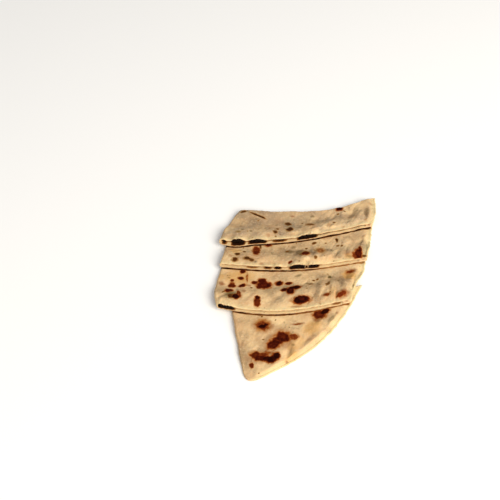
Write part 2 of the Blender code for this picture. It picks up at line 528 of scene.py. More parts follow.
@dataclass
class StripForm:
    """The shape of one strip, over its length (along) and its depth (across), both from 0 to 1."""

    plan: StripPlan
    sizes: DoughSizes
    uneven_mouth: tuple[Wave, ...] = (Wave(3.2, 0.45, 12.0), Wave(1.3, 0.3, 15.0))
    wavy_lip: tuple[Wave, ...] = (Wave(9.0, 0.22), Wave(2.8, 0.12, 4))
    ragged_cut: tuple[Wave, ...] = (Wave(7.0, 0.55), Wave(2.2, 0.30))
    ragged_rim: tuple[Wave, ...] = (Wave(6.0, 1.1, 2.5), Wave(1.9, 0.7, 6.5))
    ragged_fold: tuple[Wave, ...] = (Wave(11.0, 0.8, 8.5), Wave(3.0, 0.3, 5.5))

    def __post_init__(self) -> None:
        """Prepares the fine relief."""
        self.fine = TopRelief(self.plan)

    def outline(self, along: float, across: float) -> Vector:
        """Finds the place in plan of a point of the strip.

        Args:
            along: share of the length, from the fold to the rim.
            across: share of the depth, from the front cut to the back one.

        Returns:
            The place in metres, with no height.
        """
        plan = self.plan
        rows = plan.front.at(along).lerp(plan.back.at(along), across)
        columns = plan.left.at(across).lerp(plan.right.at(across), along)
        front = Vector(plan.front.start).lerp(Vector(plan.front.end), along)
        back = Vector(plan.back.start).lerp(Vector(plan.back.end), along)
        return rows + columns - front.lerp(back, across) * MM

    def width(self, across: float) -> float:
        """Length of the strip from fold to rim at one depth."""
        return (self.plan.right.at(across) - self.plan.left.at(across)).length

    def depth(self, along: float) -> float:
        """Depth of the strip from cut to cut at one place along it."""
        return (self.plan.back.at(along) - self.plan.front.at(along)).length

    def base(self, along: float, from_front: float) -> float:
        """Finds the underside: up on the next strip in front, down on the table behind.

        Args:
            along: share of the strip's length.
            from_front: distance from the front cut.

        Returns:
            The height in metres.
        """
        if not any(self.plan.reach):
            return 0.0
        reach = blend(*self.plan.reach, along) * MM
        run = (from_front - reach - self.sizes.clear) / self.sizes.drape_run
        return self.sizes.front_lift * (1 - smooth(run))

    @staticmethod
    def opening(gapes: tuple[Gape, ...], along: float, width: float, power: int = 2) -> float:
        """Adds up what gapes in the front cut open at one place along it.

        Args:
            gapes: the gapes.
            along: share of the strip's length.
            width: the strip's length there, in metres.
            power: how flat the top of each gape is, and how steep its ends.

        Returns:
            The height in metres.
        """
        total = 0.0
        for gape in gapes:
            offset = abs(along - gape.place) * width / (gape.half_width * MM)
            total += gape.height * MM * math.exp(-(offset**power))
        return total

    def mouth(self, place: Vector, along: float, width: float, near_cut: float) -> float:
        """Works out how far the lips stand apart at one place along the front cut.

        Args:
            place: the place in plan, in metres.
            along: share of the strip's length.
            width: the strip's length there, in metres.
            near_cut: how near the cut it is, 1 at the cut itself.

        Returns:
            The gap in metres.
        """
        uneven = sum(wave.along(place.x / MM, self.plan.seed) for wave in self.uneven_mouth)
        return self.opening(self.plan.mouths, along, width, 4) * (1 + uneven * near_cut)

    def relief(self, place: Vector, along: float, from_front: float, width: float) -> float:
        """Works out how far the top layer stands above its lowest level, as the solid has it.

        Args:
            place: the place in plan, in metres.
            along: share of the strip's length.
            from_front: distance from the front cut.
            width: the strip's length there, in metres.

        Returns:
            The height in metres.
        """
        sizes, seed = self.sizes, self.plan.seed
        spot = Vector((place.x / sizes.mound_spacing, place.y / sizes.mound_spacing, seed))
        mounds = sizes.mound_height * max(0.0, 0.35 + noise.noise(spot))
        sway = 0.6 * noise.noise(spot * 1.7)
        pucker = 0.5 + 0.5 * math.sin(2 * math.pi * (place.x / sizes.ripple_spacing + sway) + seed)
        ripples = sizes.ripple_height * smooth((along - 0.35) / 0.4) * pucker
        gapes = self.opening(self.plan.gapes, along, width) * fade(from_front, sizes.gape_depth)
        return mounds + ripples + gapes

    def freedom(self, along: float, across: float) -> float:
        """Works out how free the top layer is to bulge.

        Args:
            along: share of the strip's length.
            across: share of its depth.

        Returns:
            0 where the strip behind presses this one flat, 1 where it is free.
        """
        if not any(self.plan.covered):
            return 1.0
        from_back = self.depth(along) * (1 - across)
        pressed = blend(*self.plan.covered, along) * MM + self.sizes.pressed_margin
        return smooth((from_back - pressed) / self.sizes.pressed_fade)

    def from_lip(self, from_rim: float) -> float:
        """Rises from 0 on the pressed rim to 1 where the layers are apart."""
        return smooth((from_rim - self.sizes.rim_lip) / (self.sizes.rim_width - self.sizes.rim_lip))

    def thickness(self, place: Vector, along: float, across: float, width: float) -> float:
        """Works out the outer thickness, from the pressed rim to the bunched middle, as the solid has it.

        Args:
            place: the place in plan, in metres.
            along: share of the strip's length.
            across: share of its depth.
            width: the strip's length there, in metres.

        Returns:
            The thickness in metres.
        """
        sizes = self.sizes
        from_front = self.depth(along) * across
        full = sizes.flat_thickness
        full += self.relief(place, along, from_front, width) * self.freedom(along, across)
        full = blend(sizes.rim_thickness, full, self.from_lip((1 - along) * width))
        if self.plan.is_tip:
            full = blend(sizes.rim_thickness, full, smooth(from_front / sizes.tip_taper))
        return full

    def lip_wave(self, place: Vector, spread: float) -> float:
        """How a lip rises and falls along the front cut, in metres."""
        return sum(wave.along(place.x / MM, self.plan.seed, spread) for wave in self.wavy_lip) * MM

    def layers(self, place: Vector, along: float, across: float) -> Layers:
        """Works out the heights of the strip's surfaces at one place.

        Args:
            place: the place in plan, in metres.
            along: share of the strip's length.
            across: share of its depth.

        Returns:
            The four heights, and the toasting, painted highlights and painted shade.
        """
        plan, sizes = self.plan, self.sizes
        width = self.width(across)
        from_front = self.depth(along) * across
        from_fold, from_rim = along * width, (1 - along) * width
        base = self.base(along, from_front)
        top = base + self.thickness(place, along, across, width)
        toast_and_light = self.fine.toast_and_light(place)
        edges = smooth(from_fold / sizes.relief_fade) * smooth(from_rim / sizes.relief_fade)
        fine = self.fine.height(place, along, toast_and_light.pop("blister"))
        fine *= edges * blend(0.25, 1.0, self.freedom(along, across))
        low, sheet = base, sizes.sheet
        if not plan.is_tip and from_front < sizes.lip_depth:
            deep = smooth(from_front / sizes.lip_depth)
            lift = plan.least_lift * MM + self.opening(plan.lifts, along, width)
            lift *= (1 - deep) ** 2 * smooth(from_rim / sizes.lift_fade)
            mouth = self.mouth(place, along, width, math.exp(-from_front / sizes.uneven_depth))
            stack = lift + 2 * sheet + sizes.shut_gap + mouth
            stack = blend(sizes.rim_thickness, stack, self.from_lip(from_rim))
            top = base + blend(stack, top - base, deep)
            top += self.lip_wave(place, 2.0) * (1 - deep) * edges
            low += lift + max(0.0, self.lip_wave(place, 9.0)) * (1 - deep) * edges
            fine *= blend(0.4, 1.0, deep)
            sheet -= sizes.lip_thinning * smooth(mouth / sizes.thinning_mouth) * (1 - deep)
        crimp = 0.35 * ripple(place.x / MM / 4.0, place.y / MM / 3.0, plan.seed) * MM
        crimp *= fade(from_rim - sizes.crimp_start, sizes.crimp_run)
        top += fine + crimp * smooth(from_rim / sizes.crimp_start)
        knee = sizes.highest - sizes.soft_top
        if top > knee:
            top = knee + sizes.soft_top * (1 - math.exp(-(top - knee) / sizes.soft_top))
        inner_low, inner_high = low + sheet, top - sheet
        if inner_high < inner_low + sizes.least_hollow:
            middle = (low + top) / 2
            inner_low, inner_high = middle - sizes.half_hollow, middle + sizes.half_hollow
        return Layers(low, inner_low, inner_high, top, toast_and_light)

    def cut_shift(self, place: Vector, along: float, across: float, level: float) -> float:
        """Works out how far a point lies behind its place in plan, because the cuts are stepped and ragged.

        Args:
            place: the place in plan, in metres.
            along: share of the strip's length.
            across: share of its depth.
            level: height in the strip, from -1 at the bottom to 1 at the top.

        Returns:
            The shift in metres, towards the back where it is above 0.
        """
        plan, sizes, depth = self.plan, self.sizes, self.depth(along)
        from_front = depth * across
        near_front = 0.0 if plan.is_tip else fade(from_front, sizes.ragged_fade)
        near_back = fade(depth - from_front, sizes.ragged_fade)
        share = (1 + level) / 2
        ragged = sum(wave.along(place.x / MM, level * 3.0, plan.seed) for wave in self.ragged_cut)
        step = plan.setback * MM * share * (1 - smooth(across * 3))
        droop = self.opening(plan.droops, along, self.width(across)) * fade(from_front, sizes.lift_fade)
        droop *= blend(1.0, 0.15, share)
        return step - droop + (max(ragged, -0.3) * near_front - abs(ragged) * near_back) * MM

    def edge_shift(self, place: Vector, from_fold: float, from_rim: float) -> float:
        """Works out how far the ragged rim and the fold stand in from their smooth lines.

        Args:
            place: the place in plan, in metres.
            from_fold: distance from the fold.
            from_rim: distance from the rim.

        Returns:
            The shift in metres, towards the right where it is above 0.
        """
        y, seed = place.y / MM, self.plan.seed
        rim = sum(abs(wave.along(y, seed)) for wave in self.ragged_rim)
        fold = sum(abs(wave.along(y, seed)) for wave in self.ragged_fold)
        rim *= fade(from_rim, self.sizes.rim_fade)
        fold *= fade(from_fold, self.sizes.fold_fade)
        return (fold - rim) * MM

    def tints(self, place: Vector, along: float) -> Marks:
        """Works out how grey and how pale the strip's top is, in broad patches: partly its own mottling,
        partly painted light, dim on the back strips and mostly brighter towards the rim end.

        Args:
            place: the place in plan, in metres.
            along: share of the strip's length.

        Returns:
            Both shares by name.
        """
        x, y, seed = place.x / MM, place.y / MM, self.plan.seed
        patches = 0.5 + 0.9 * ripple(x / 16.0, y / 11.0, seed + 20)
        # painted shade greying the back strips, broken into random patches
        grey = blend(*self.plan.grey, smooth(along)) * min(max(patches, 0.15), 1.2)
        lit = 0.6 - 0.8 * ripple(x / 12.0, y / 9.0, seed + 26)
        # painted light brightening the lit ends, broken into random patches
        pale = blend(*self.plan.pale, smooth(along)) * min(max(lit, 0.1), 1.2)
        return {"grey": grey, "pale": pale}


@dataclass(frozen=True)
class Row:
    """One row of the rolled skin: where it lies across the strip and on which wall."""

    across: float
    inner_share: float
    fullness: float = 1.0


@dataclass
class DoughSleeve:
    """The folded dough of one strip, with the strip that lies on it."""

    plan: StripPlan
    above: StripPlan | None
    sizes: DoughSizes
    fold_steps: int = 7
    rim_steps: int = 5
    top_steps: int = 262
    bottom_steps: int = 110
    tip_steps: int = 200
    tip_front_steps: int = 6
    tip_front_share: float = 0.02
    golden_cut: Wave = Wave(4.0, 0.4, 2)
    tanned_cut: Wave = Wave(5.0, 1.2)
    tanned_lip: Wave = Wave(6.0, 0.5, 4)
    stained_lip: Wave = Wave(3.5, 1.1, 7)
    strand_foot: float = 0.42 * MM
    strand_head: float = 0.30 * MM
    strand_sunk: float = 0.8 * MM
    strand_setback: float = 1.9 * MM
    strand_lean: float = -28.0

    def __post_init__(self) -> None:
        """Prepares the strip's form and the steps and rows of its mesh."""
        self.form = StripForm(self.plan, self.sizes)
        if self.plan.is_tip:
            self.top_steps = self.bottom_steps = self.tip_steps
        self.rows = self.make_rows()

    def make_rows(self) -> list[Row]:
        """Lists the rows of the skin, round the whole section and back to the start.

        Returns:
            Rows over the outside, over the back cut, through the hollow and over the front cut.
        """
        is_tip, depth = self.plan.is_tip, self.form.depth(0.5)
        outer = round(depth / self.sizes.mesh_step)
        rows, first = [], 0.0
        if is_tip:
            first = self.tip_front_share
            for step in range(self.tip_front_steps):
                turn = math.pi / 2 * step / self.tip_front_steps
                rows.append(Row(first * (1 - math.cos(turn)), 0.0, math.sin(turn)))
        rows += [Row(blend(first, 1.0, step / outer), 0.0) for step in range(outer + 1)]
        rows += [Row(1.0, share) for share in (0.2, 0.5, 0.8)]
        start = self.sizes.tip_cavity_start / depth if is_tip else 0.0
        for share in self.inner_shares():
            full = 0.0 if is_tip and share == 0 else 1.0
            rows.append(Row(blend(start, 1.0, share), 1.0, full))
        if not is_tip:
            rows += [Row(0.0, share) for share in (0.9, 0.72, 0.45, 0.2, 0.0)]
        return rows

    @staticmethod
    def inner_shares() -> list[float]:
        """Depths of the rows in the hollow, from back to front, closer together near the cuts."""
        shares = [1 - 0.015 * step for step in range(6)]
        shares += [blend(0.88, 0.28, step / 7) for step in range(8)]
        return shares + [0.28 * (1 - step / 15) ** 1.2 for step in range(1, 16)]

    def station(
        self, step: int, steps: int, length: float, radii: tuple[float, float]
    ) -> tuple[float, float]:
        """Places one step round a rounded section.

        Args:
            step: step from the fold's outermost line to the rim's.
            steps: how many steps there are.
            length: length of the section.
            radii: how far in the section is rounded, at the fold and at the rim.

        Returns:
            Distance from the fold and how full the section is there.
        """
        left, right = radii
        from_rim = steps - step
        if step <= self.fold_steps:
            turn = math.pi / 2 * step / self.fold_steps
            return left * (1 - math.cos(turn)), math.sin(turn)
        if from_rim <= self.rim_steps:
            turn = math.pi / 2 * from_rim / self.rim_steps
            return length - right * (1 - math.cos(turn)), math.sin(turn)
        share = (step - self.fold_steps) / (steps - self.fold_steps - self.rim_steps)
        return left + (length - left - right) * share, 1.0

    def skin_point(self, row: Row, step: int, side: Side) -> tuple[Vector, Marks]:
        """Places one point of the skin.

        Args:
            row: the row that it is in.
            step: its step from the fold.
            side: the layer that it is on.

        Returns:
            The point in metres, and the values that the finish reads there.
        """
        if row.inner_share in (0.0, 1.0):
            return self.wall_point(row, step, side, row.inner_share == 1.0)
        outer, marks = self.wall_point(row, step, side, False)
        inner, _ = self.wall_point(row, step, side, True)
        point = outer.lerp(inner, row.inner_share)
        bulge = self.sizes.cut_bulge * math.sin(math.pi * row.inner_share)
        point.y += bulge if row.across > 0.5 else -bulge
        marks = {name: value * 0.3 for name, value in marks.items()}
        marks["cut"] = 1.0
        spot = (point.x / MM, side.value * 2.0, self.plan.seed)
        marks["gold"] = 0.45 + self.golden_cut.along(*spot)
        marks["tan"] = max(0.0, self.tanned_cut.along(*spot))
        if row.inner_share > 0.8:
            marks["tan"] = 0.3 + max(0.0, self.tanned_lip.along(*spot))
            marks["stain"] = max(0.0, self.stained_lip.along(*spot))
        return point, marks

    def wall_point(self, row: Row, step: int, side: Side, inner: bool) -> tuple[Vector, Marks]:
        """Places one point of the outside or of the hollow's wall.

        Args:
            row: the row that it is in.
            step: its step from the fold.
            side: the layer that it is on.
            inner: whether it is on the hollow's wall.

        Returns:
            The point in metres, and the values that the finish reads there.
        """
        sizes, form = self.sizes, self.form
        steps = self.top_steps if side is Side.TOP else self.bottom_steps
        width = form.width(row.across)
        if inner:
            length = width - sizes.sheet - sizes.rim_width
            distance, full = self.station(step, steps, length, (sizes.sheet / 2, sizes.sheet / 2))
            distance += sizes.sheet
        else:
            distance, full = self.station(step, steps, width, (sizes.fold_radius, sizes.rim_radius))
        along = distance / width
        place = form.outline(along, row.across)
        layers = form.layers(place, along, row.across)
        low, high = (layers.inner_low, layers.inner_high) if inner else (layers.low, layers.high)
        level = side.value * full
        height = (low + high) / 2 + level * row.fullness * (high - low) / 2
        shift = form.cut_shift(place, along, row.across, level)
        outward = form.edge_shift(place, distance, width - distance)
        point = Vector((place.x + outward, place.y + shift, height))
        marks = self.edge_marks(width - distance, form.depth(along) * row.across)
        if inner:
            marks["stain"] = self.stain(along, form.depth(along) * row.across, width)
        elif side is Side.TOP:
            self.mark_top(marks, place, along, row.across, layers.toast_and_light)
        return point, marks

    def edge_marks(self, from_rim: float, from_front: float) -> Marks:
        """Starts the values at a place, with a painted highlight along the rim and the front lips.

        Args:
            from_rim: distance from the rim.
            from_front: distance from the front cut.

        Returns:
            The values that the finish reads there.
        """
        marks = {tone.value: 0.0 for tone in Tone}
        marks.update(cut=0.0, stain=0.0, grey=0.0, pale=0.3)
        # painted highlight along the pressed rim
        marks["rim"] = fade(from_rim - 1.0 * MM, 8.0 * MM)
        if not self.plan.is_tip:
            # painted highlight along the front lips
            marks["rim"] = max(marks["rim"], 0.75 * fade(from_front, 5.5 * MM))
        return marks

    def mark_top(self, marks: Marks, place: Vector, along: float, across: float, toast_and_light: Marks) -> None:
        """Adds the values that only the top of the strip has.

        Args:
            marks: the values at the place, which it changes.
            place: the place in plan, in metres.
            along: share of the strip's length.
            across: share of its depth.
            toast_and_light: the toasting, painted highlights and painted shade there.
        """
        marks.update(toast_and_light)
        tints = self.form.tints(place, along)
        marks["grey"] = tints["grey"]
        marks["pale"] = max(marks["pale"], tints["pale"])
        if not self.plan.is_tip:
            # painted highlight along the front edge of the upper lip
            marks["pale"] = max(marks["pale"], 0.95 * fade(self.form.depth(along) * across, 2.6 * MM))
        # painted shadow: a dark line just in front of the lip of the strip behind
        marks["stain"] = self.contact_shadow(place)

    def stain(self, along: float, from_front: float, width: float) -> float:
        """Works out how far the filling has stained the hollow: up to the cut only where the lips gape.

        Args:
            along: share of the strip's length.
            from_front: distance from the front cut.
            width: the strip's length there, in metres.

        Returns:
            How dark the hollow's wall is, from 0 to 1.
        """
        open_share = smooth(self.form.opening(self.plan.mouths, along, width, 4) / (1.2 * MM))
        deep = smooth((from_front - 2.0 * MM) / (3 * MM))
        return max(0.08, deep, open_share * smooth((from_front + 1 * MM) / (2.5 * MM)))

    def contact_shadow(self, place: Vector) -> float:
        """Works out the painted shadow on this strip just in front of the lip of the strip behind, where that
        strip rests on this one.

        Args:
            place: the place in plan, in metres.

        Returns:
            The depth of the painted shadow, from 0 to about 1.
        """
        if self.above is None:
            return 0.0
        lip, seed = self.above.front, self.plan.seed
        length = lip.end[0] - lip.start[0]
        share = (place.x / MM - lip.start[0]) / length
        for _ in range(2):
            share += (place.x - lip.at(share).x) / MM / length
        if not -0.02 < share < 1.0:
            return 0.0
        before = (lip.at(share).y - place.y - StripForm.opening(self.above.droops, share, length * MM)) / MM
        line = 0.62 + 0.5 * ripple(share * 30, 3.0, seed)
        strength = blend(*self.plan.contact_shadow, smooth((share - 0.45) / 0.3))
        strength *= 0.85 + 0.5 * ripple(share * 14, 8.0, seed)
        return strength * fade(before - line, 0.9) * fade(share - 0.97, 0.03)

    def build(self) -> bpy.types.Object:
        """Builds the skin and writes its values to the mesh.

        Returns:
            The dough as an object at the origin.
        """
        columns, last = self.top_steps + self.bottom_steps, len(self.rows) - 1
        bm = bmesh.new()
        bmesh.ops.create_grid(bm, x_segments=columns, y_segments=last, size=0.5)
        names = [tone.value for tone in Tone] + ["cut", "stain", "rim", "grey"]
        layers = {name: bm.verts.layers.float.new(name) for name in names}
        for vert in bm.verts:
            column = round((vert.co.x + 0.5) * columns)
            row = self.rows[round((vert.co.y + 0.5) * last)]
            on_top = column <= self.top_steps
            step, side = (column, Side.TOP) if on_top else (columns - column, Side.BOTTOM)
            vert.co, marks = self.skin_point(row, step, side)
            for name, layer in layers.items():
                vert[layer] = marks[name]
        bmesh.ops.remove_doubles(bm, verts=bm.verts, dist=SAME_PLACE)
        for along in self.plan.strands:
            self.add_strand(bm, along, layers["cut"])
        bmesh.ops.recalc_face_normals(bm, faces=bm.faces)
        return mesh_object(bm, self.plan.name + "_skin")

    def add_strand(self, bm: bmesh.types.BMesh, along: float, layer: bmesh.types.BMLayerItem) -> None:
        """Adds a thin strand of dough that still joins the lips.

        Args:
            bm: the mesh that gets it.
            along: where it stands, as a share of the front cut.
            layer: the value that marks a cut face.
        """
        place = self.form.outline(along, 0.0)
        layers = self.form.layers(place, along, 0.0)
        tall = layers.inner_high - layers.inner_low + self.strand_sunk
        radii = {"radius1": self.strand_foot, "radius2": self.strand_head}
        made = bmesh.ops.create_cone(bm, cap_ends=True, segments=8, depth=tall, **radii)["verts"]
        middle = Vector((place.x, place.y + self.strand_setback, (layers.inner_low + layers.inner_high) / 2))
        lean = Matrix.Rotation(math.radians(self.strand_lean), 4, "X")
        bmesh.ops.transform(bm, matrix=Matrix.Translation(middle) @ lean, verts=made)
        for vert in made:
            vert[layer] = 1.0


@dataclass
class LeafFilling:
    """The filling of one strip: a lumpy layer of cooked leaves, and leaf bits at the front cut."""

    sleeve: DoughSleeve
    end_steps: int = 5
    columns: int = 200
    face_rows: int = 8
    deep_rows: int = 34
    shut_recess: float = 7.5
    open_recess: float = 1.1
    open_mouth: float = 1.3 * MM
    ragged_front: Wave = Wave(2.6, 0.6, 1.0)
    lumps: Wave = Wave(1.5, 0.5)
    least_room: float = 0.8 * MM

    def __post_init__(self) -> None:
        """Takes over the plan and the form of the sleeve that it fills."""
        self.plan = self.sleeve.plan
        self.sizes = self.sleeve.sizes
        self.form = self.sleeve.form

    def recess(self, along: float) -> float:
        """Works out how far the filling's front lies behind the cut: less where the lips gape.

        Args:
            along: share of the strip's length.

        Returns:
            The distance in metres.
        """
        width = self.form.width(0.0)
        mouth = self.form.opening(self.plan.mouths, along, width, 4)
        ragged = self.ragged_front.along(along * width / MM, self.plan.seed)
        return (blend(self.shut_recess, self.open_recess, smooth(mouth / self.open_mouth)) + ragged) * MM

    def section(self, row: int) -> tuple[float, float]:
        """Goes once round the slab's section.

        Args:
            row: row of the rolled grid.

        Returns:
            Share of the depth from front to back, and height from -1 at the floor to 1 at the ceiling.
        """
        if row <= self.deep_rows:
            return (1 - row / self.deep_rows) ** 1.4, 1.0
        row -= self.deep_rows
        if row <= self.face_rows:
            return 0.0, 1 - 2 * row / self.face_rows
        row -= self.face_rows
        if row <= self.deep_rows:
            return (row / self.deep_rows) ** 1.4, -1.0
        row -= self.deep_rows
        return 1.0, -1 + 2 * row / self.face_rows

    def point(self, column: int, row: int) -> Vector:
        """Places one point of the slab.

        Args:
            column: column of the rolled grid, from fold to rim.
            row: row of the rolled grid, round the section.

        Returns:
            The point in metres.
        """
        sizes, plan = self.sizes, self.plan
        deep, level = self.section(row)
        width = self.form.width(0.5)
        first, last = (sizes.sheet + 0.5 * MM) / width, 1 - (sizes.rim_width + 0.8 * MM) / width
        along = blend(first, last, column / self.columns)
        from_end = min(column, self.columns - column)
        full = math.sin(math.pi / 2 * min(from_end / self.end_steps, 1.0))
        depth = self.form.depth(along)
        start = sizes.tip_cavity_start / depth + 0.06 if plan.is_tip else self.recess(along) / depth
        across = blend(start, 1 - 1.2 * MM / depth, deep)
        if plan.is_tip and deep == 0.0:
            full *= 0.4
        place = self.form.outline(along, across)
        layers = self.form.layers(place, along, across)
        low, high = layers.inner_low, layers.inner_high
        x, y = place.x / MM, place.y / MM
        lump = 0.5 + self.lumps.over(x, y, plan.seed + level)
        clear = 0.08 * MM + lump * min(0.45 * MM, 0.2 * (high - low))
        half = max((high - low) / 2 - clear, 0.02 * MM)
        height = (low + high) / 2 + level * full * half
        face = 0.0
        if deep == 0.0:
            bulge = math.cos(level * math.pi / 2)
            face = -0.6 * MM * bulge + 0.8 * bulge * MM * ripple(x / 1.2, height / MM / 0.9, plan.seed)
        back = self.form.cut_shift(place, along, across, 0.0)
        return Vector((place.x, place.y + back + face * full, height))

    def build(self) -> bpy.types.Object:
        """Builds the slab and its leaf bits.

        Returns:
            The filling as an object at the origin.
        """
        last = 2 * (self.deep_rows + self.face_rows)
        bm = bmesh.new()
        bmesh.ops.create_grid(bm, x_segments=self.columns, y_segments=last, size=0.5)
        for vert in bm.verts:
            column = round((vert.co.x + 0.5) * self.columns)
            vert.co = self.point(column, round((vert.co.y + 0.5) * last))
        bmesh.ops.remove_doubles(bm, verts=bm.verts, dist=SAME_PLACE)
        if not self.plan.is_tip:
            self.add_leaf_bits(bm)
        bmesh.ops.recalc_face_normals(bm, faces=bm.faces)
        return mesh_object(bm, self.plan.name + "_leaves")

    def add_leaf_bits(self, bm: bmesh.types.BMesh) -> None:
        """Adds small crumpled bits of leaf where the lips gape.

        Args:
            bm: the mesh that gets them.
        """
        dice = random.Random(int(self.plan.seed * 31))
        for mouth in self.plan.mouths:
            for _ in range(round(mouth.half_width * mouth.height * 0.9)):
                along = mouth.place + dice.uniform(-0.85, 0.85) * mouth.half_width * MM / self.form.width(0.0)
                along = min(max(along, 0.03), 0.9)
                place = self.form.outline(along, 0.0)
                layers = self.form.layers(place, along, 0.0)
                room = layers.inner_high - layers.inner_low
                if room < self.least_room:
                    continue
                size = min(dice.uniform(0.6, 1.3) * MM, room * 0.42)
                height = dice.uniform(layers.inner_low + size * 0.5, layers.inner_high - size * 0.6)
                centre = Vector((place.x, place.y + dice.uniform(1.2, 2.6) * MM, height))
                self.add_bit(bm, centre, size, dice)

    @staticmethod
    def add_bit(bm: bmesh.types.BMesh, centre: Vector, size: float, dice: random.Random) -> None:
        """Adds one bit of leaf.

        Args:
            bm: the mesh that gets it.
            centre: where it lies.
            size: half of its height.
            dice: source of its random turns.
        """
        made = bmesh.ops.create_icosphere(bm, subdivisions=2, radius=1.0)["verts"]
        long, thin = dice.uniform(1.1, 2.1), dice.uniform(0.35, 0.7)
        shape = Matrix.Diagonal((size * long, size * 0.9, size * thin, 1.0))
        tip = Matrix.Rotation(dice.uniform(-0.5, 0.5), 4, "Y")
        turn = tip @ Matrix.Rotation(dice.uniform(-0.8, 0.8), 4, "Z")
        phase = dice.uniform(0, 50)
        for vert in made:
            vert.co *= 1 + 0.28 * ripple(vert.co.x * 1.9 + phase, vert.co.y * 1.9, vert.co.z * 1.9)
        bmesh.ops.transform(bm, matrix=Matrix.Translation(centre) @ turn @ shape, verts=made)


def mesh_object(bm: bmesh.types.BMesh, name: str) -> bpy.types.Object:
    """Turns a finished bmesh into an object at the origin.

    Args:
        bm: the mesh, which is freed.
        name: name of the object.

    Returns:
        The object, linked to the scene and smooth shaded.
    """
    mesh = bpy.data.meshes.new(name)
    bm.to_mesh(mesh)
    bm.free()
    mesh.shade_smooth()
    made = bpy.data.objects.new(name, mesh)
    bpy.context.scene.collection.objects.link(made)
    return made


def dress(piece: bpy.types.Object, material: bpy.types.Material, node: str) -> None:
    """Gives a finished piece its material, attaches it to the root body and hides the solid that it stands
    for.

    Args:
        piece: the piece.
        material: its material.
        node: name of the solid.
    """
    piece.data.materials.append(material)
    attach(piece, "root")
    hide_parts(node)
    LOG.info("%s: %d faces", piece.name, len(piece.data.polygons))


class Signal:
    """A shader socket that arithmetic can be written with."""

    def __init__(self, sheet: "ShaderSheet", socket: bpy.types.NodeSocket) -> None:
        """Wraps an output socket of the sheet."""
        self.sheet = sheet
        self.socket = socket

    def combine(self, operation: str, first: "Signal | float", second: "Signal | float") -> "Signal":
        """Adds a Math node for one operation on two values."""
        return self.sheet.add("ShaderNodeMath", {"operation": operation}, {0: first, 1: second})

    def __add__(self, other: "Signal | float") -> "Signal":
        """Adds."""
        return self.combine("ADD", self, other)

    __radd__ = __add__

    def __mul__(self, other: "Signal | float") -> "Signal":
        """Multiplies."""
        return self.combine("MULTIPLY", self, other)

    __rmul__ = __mul__

    def __sub__(self, other: "Signal | float") -> "Signal":
        """Subtracts."""
        return self.combine("SUBTRACT", self, other)

    def __rsub__(self, other: float) -> "Signal":
        """Subtracts this from a number."""
        return self.combine("SUBTRACT", other, self)

    def between(self, low: float, high: float) -> "Signal":
        """Rises smoothly from 0 at low to 1 at high."""
        return self.sheet.add(
            "ShaderNodeMapRange",
            {"interpolation_type": "SMOOTHSTEP"},
            {"Value": self, "From Min": low, "From Max": high, "To Min": 0.0, "To Max": 1.0},
        )

    def clamped(self) -> "Signal":
        """Holds the value between 0 and 1."""
        return self.sheet.add("ShaderNodeClamp", {}, {"Value": self, "Min": 0.0, "Max": 1.0})


class ShaderSheet:
    """A material's node tree, filled in by one method."""

    def __init__(self, name: str) -> None:
        """Makes the material and finds its shader."""
        self.material = bpy.data.materials.new(name)
        self.material.use_nodes = True
        self.tree = self.material.node_tree
        self.shader = self.tree.nodes["Principled BSDF"]
        self.place = self.add("ShaderNodeTexCoord", {}, {}, "Object")

    def add(self, kind: str, settings: dict, values: dict, output: "str | int" = 0) -> Signal:
        """Adds one node.

        Args:
            kind: the node's type.
            settings: its own settings, or a ramp's stops.
            values: a number, colour or Signal for each socket named or numbered.
            output: the output socket to use.

        Returns:
            That output.
        """
        node = self.tree.nodes.new(kind)
        for name, value in settings.items():
            if name == "stops":
                self.set_stops(node.color_ramp, value)
            else:
                setattr(node, name, value)
        for name, value in values.items():
            self.feed(node.inputs[name], value)
        return Signal(self, node.outputs[output])

    def feed(self, socket: bpy.types.NodeSocket, value: "Signal | float | Colour") -> None:
        """Links a Signal to a socket, or sets its value.

        Args:
            socket: the input socket.
            value: what it gets.
        """
        if isinstance(value, Signal):
            self.tree.links.new(value.socket, socket)
        else:
            socket.default_value = value

    @staticmethod
    def set_stops(ramp: bpy.types.ColorRamp, stops: Stops) -> None:
        """Gives a ramp its stops.

        Args:
            ramp: the ramp.
            stops: the position and colour of each.
        """
        while len(ramp.elements) < len(stops):
            ramp.elements.new(0.5)
        for element, (position, colour) in zip(ramp.elements, stops):
            element.position = position
            element.color = colour

    def noise(self, spacing: float, detail: float = 2.0, distortion: float = 0.0) -> Signal:
        """Adds noise whose lumps are spacing metres apart."""
        values = {"Vector": self.place, "Scale": 1 / spacing, "Detail": detail, "Distortion": distortion}
        return self.add("ShaderNodeTexNoise", {}, values, "Fac")

    def attribute(self, name: str) -> Signal:
        """Reads a value written to the mesh."""
        return self.add("ShaderNodeAttribute", {"attribute_name": name}, {}, "Fac")

    def mix(self, share: "Signal | float", first: "Signal | Colour", second: "Signal | Colour") -> Signal:
        """Mixes two colours."""
        return self.add("ShaderNodeMix", {"data_type": "RGBA"}, {0: share, 6: first, 7: second}, 2)

    def darken(self, share: "Signal | float", first: "Signal | Colour", second: "Signal | Colour") -> Signal:
        """Lays a colour over another one where it is the darker of the two."""
        settings = {"data_type": "RGBA", "blend_type": "DARKEN"}
        return self.add("ShaderNodeMix", settings, {0: share, 6: first, 7: second}, 2)

    def ramp(self, value: Signal, stops: Stops) -> Signal:
        """Turns a value into a colour."""
        return self.add("ShaderNodeValToRGB", {"stops": stops}, {"Fac": value}, "Color")

    def bump(self, height: Signal, distance: float, strength: float) -> Signal:
        """Turns a height into a normal."""
        values = {"Height": height, "Distance": distance, "Strength": strength}
        return self.add("ShaderNodeBump", {}, values, "Normal")

    def finish(self, **values: "Signal | float | Colour") -> bpy.types.Material:
        """Feeds the shader and returns the material."""
        for name, value in values.items():
            socket = name.replace("_", " ").title().replace("Ior", "IOR")
            self.feed(self.shader.inputs[socket], value)
        return self.material


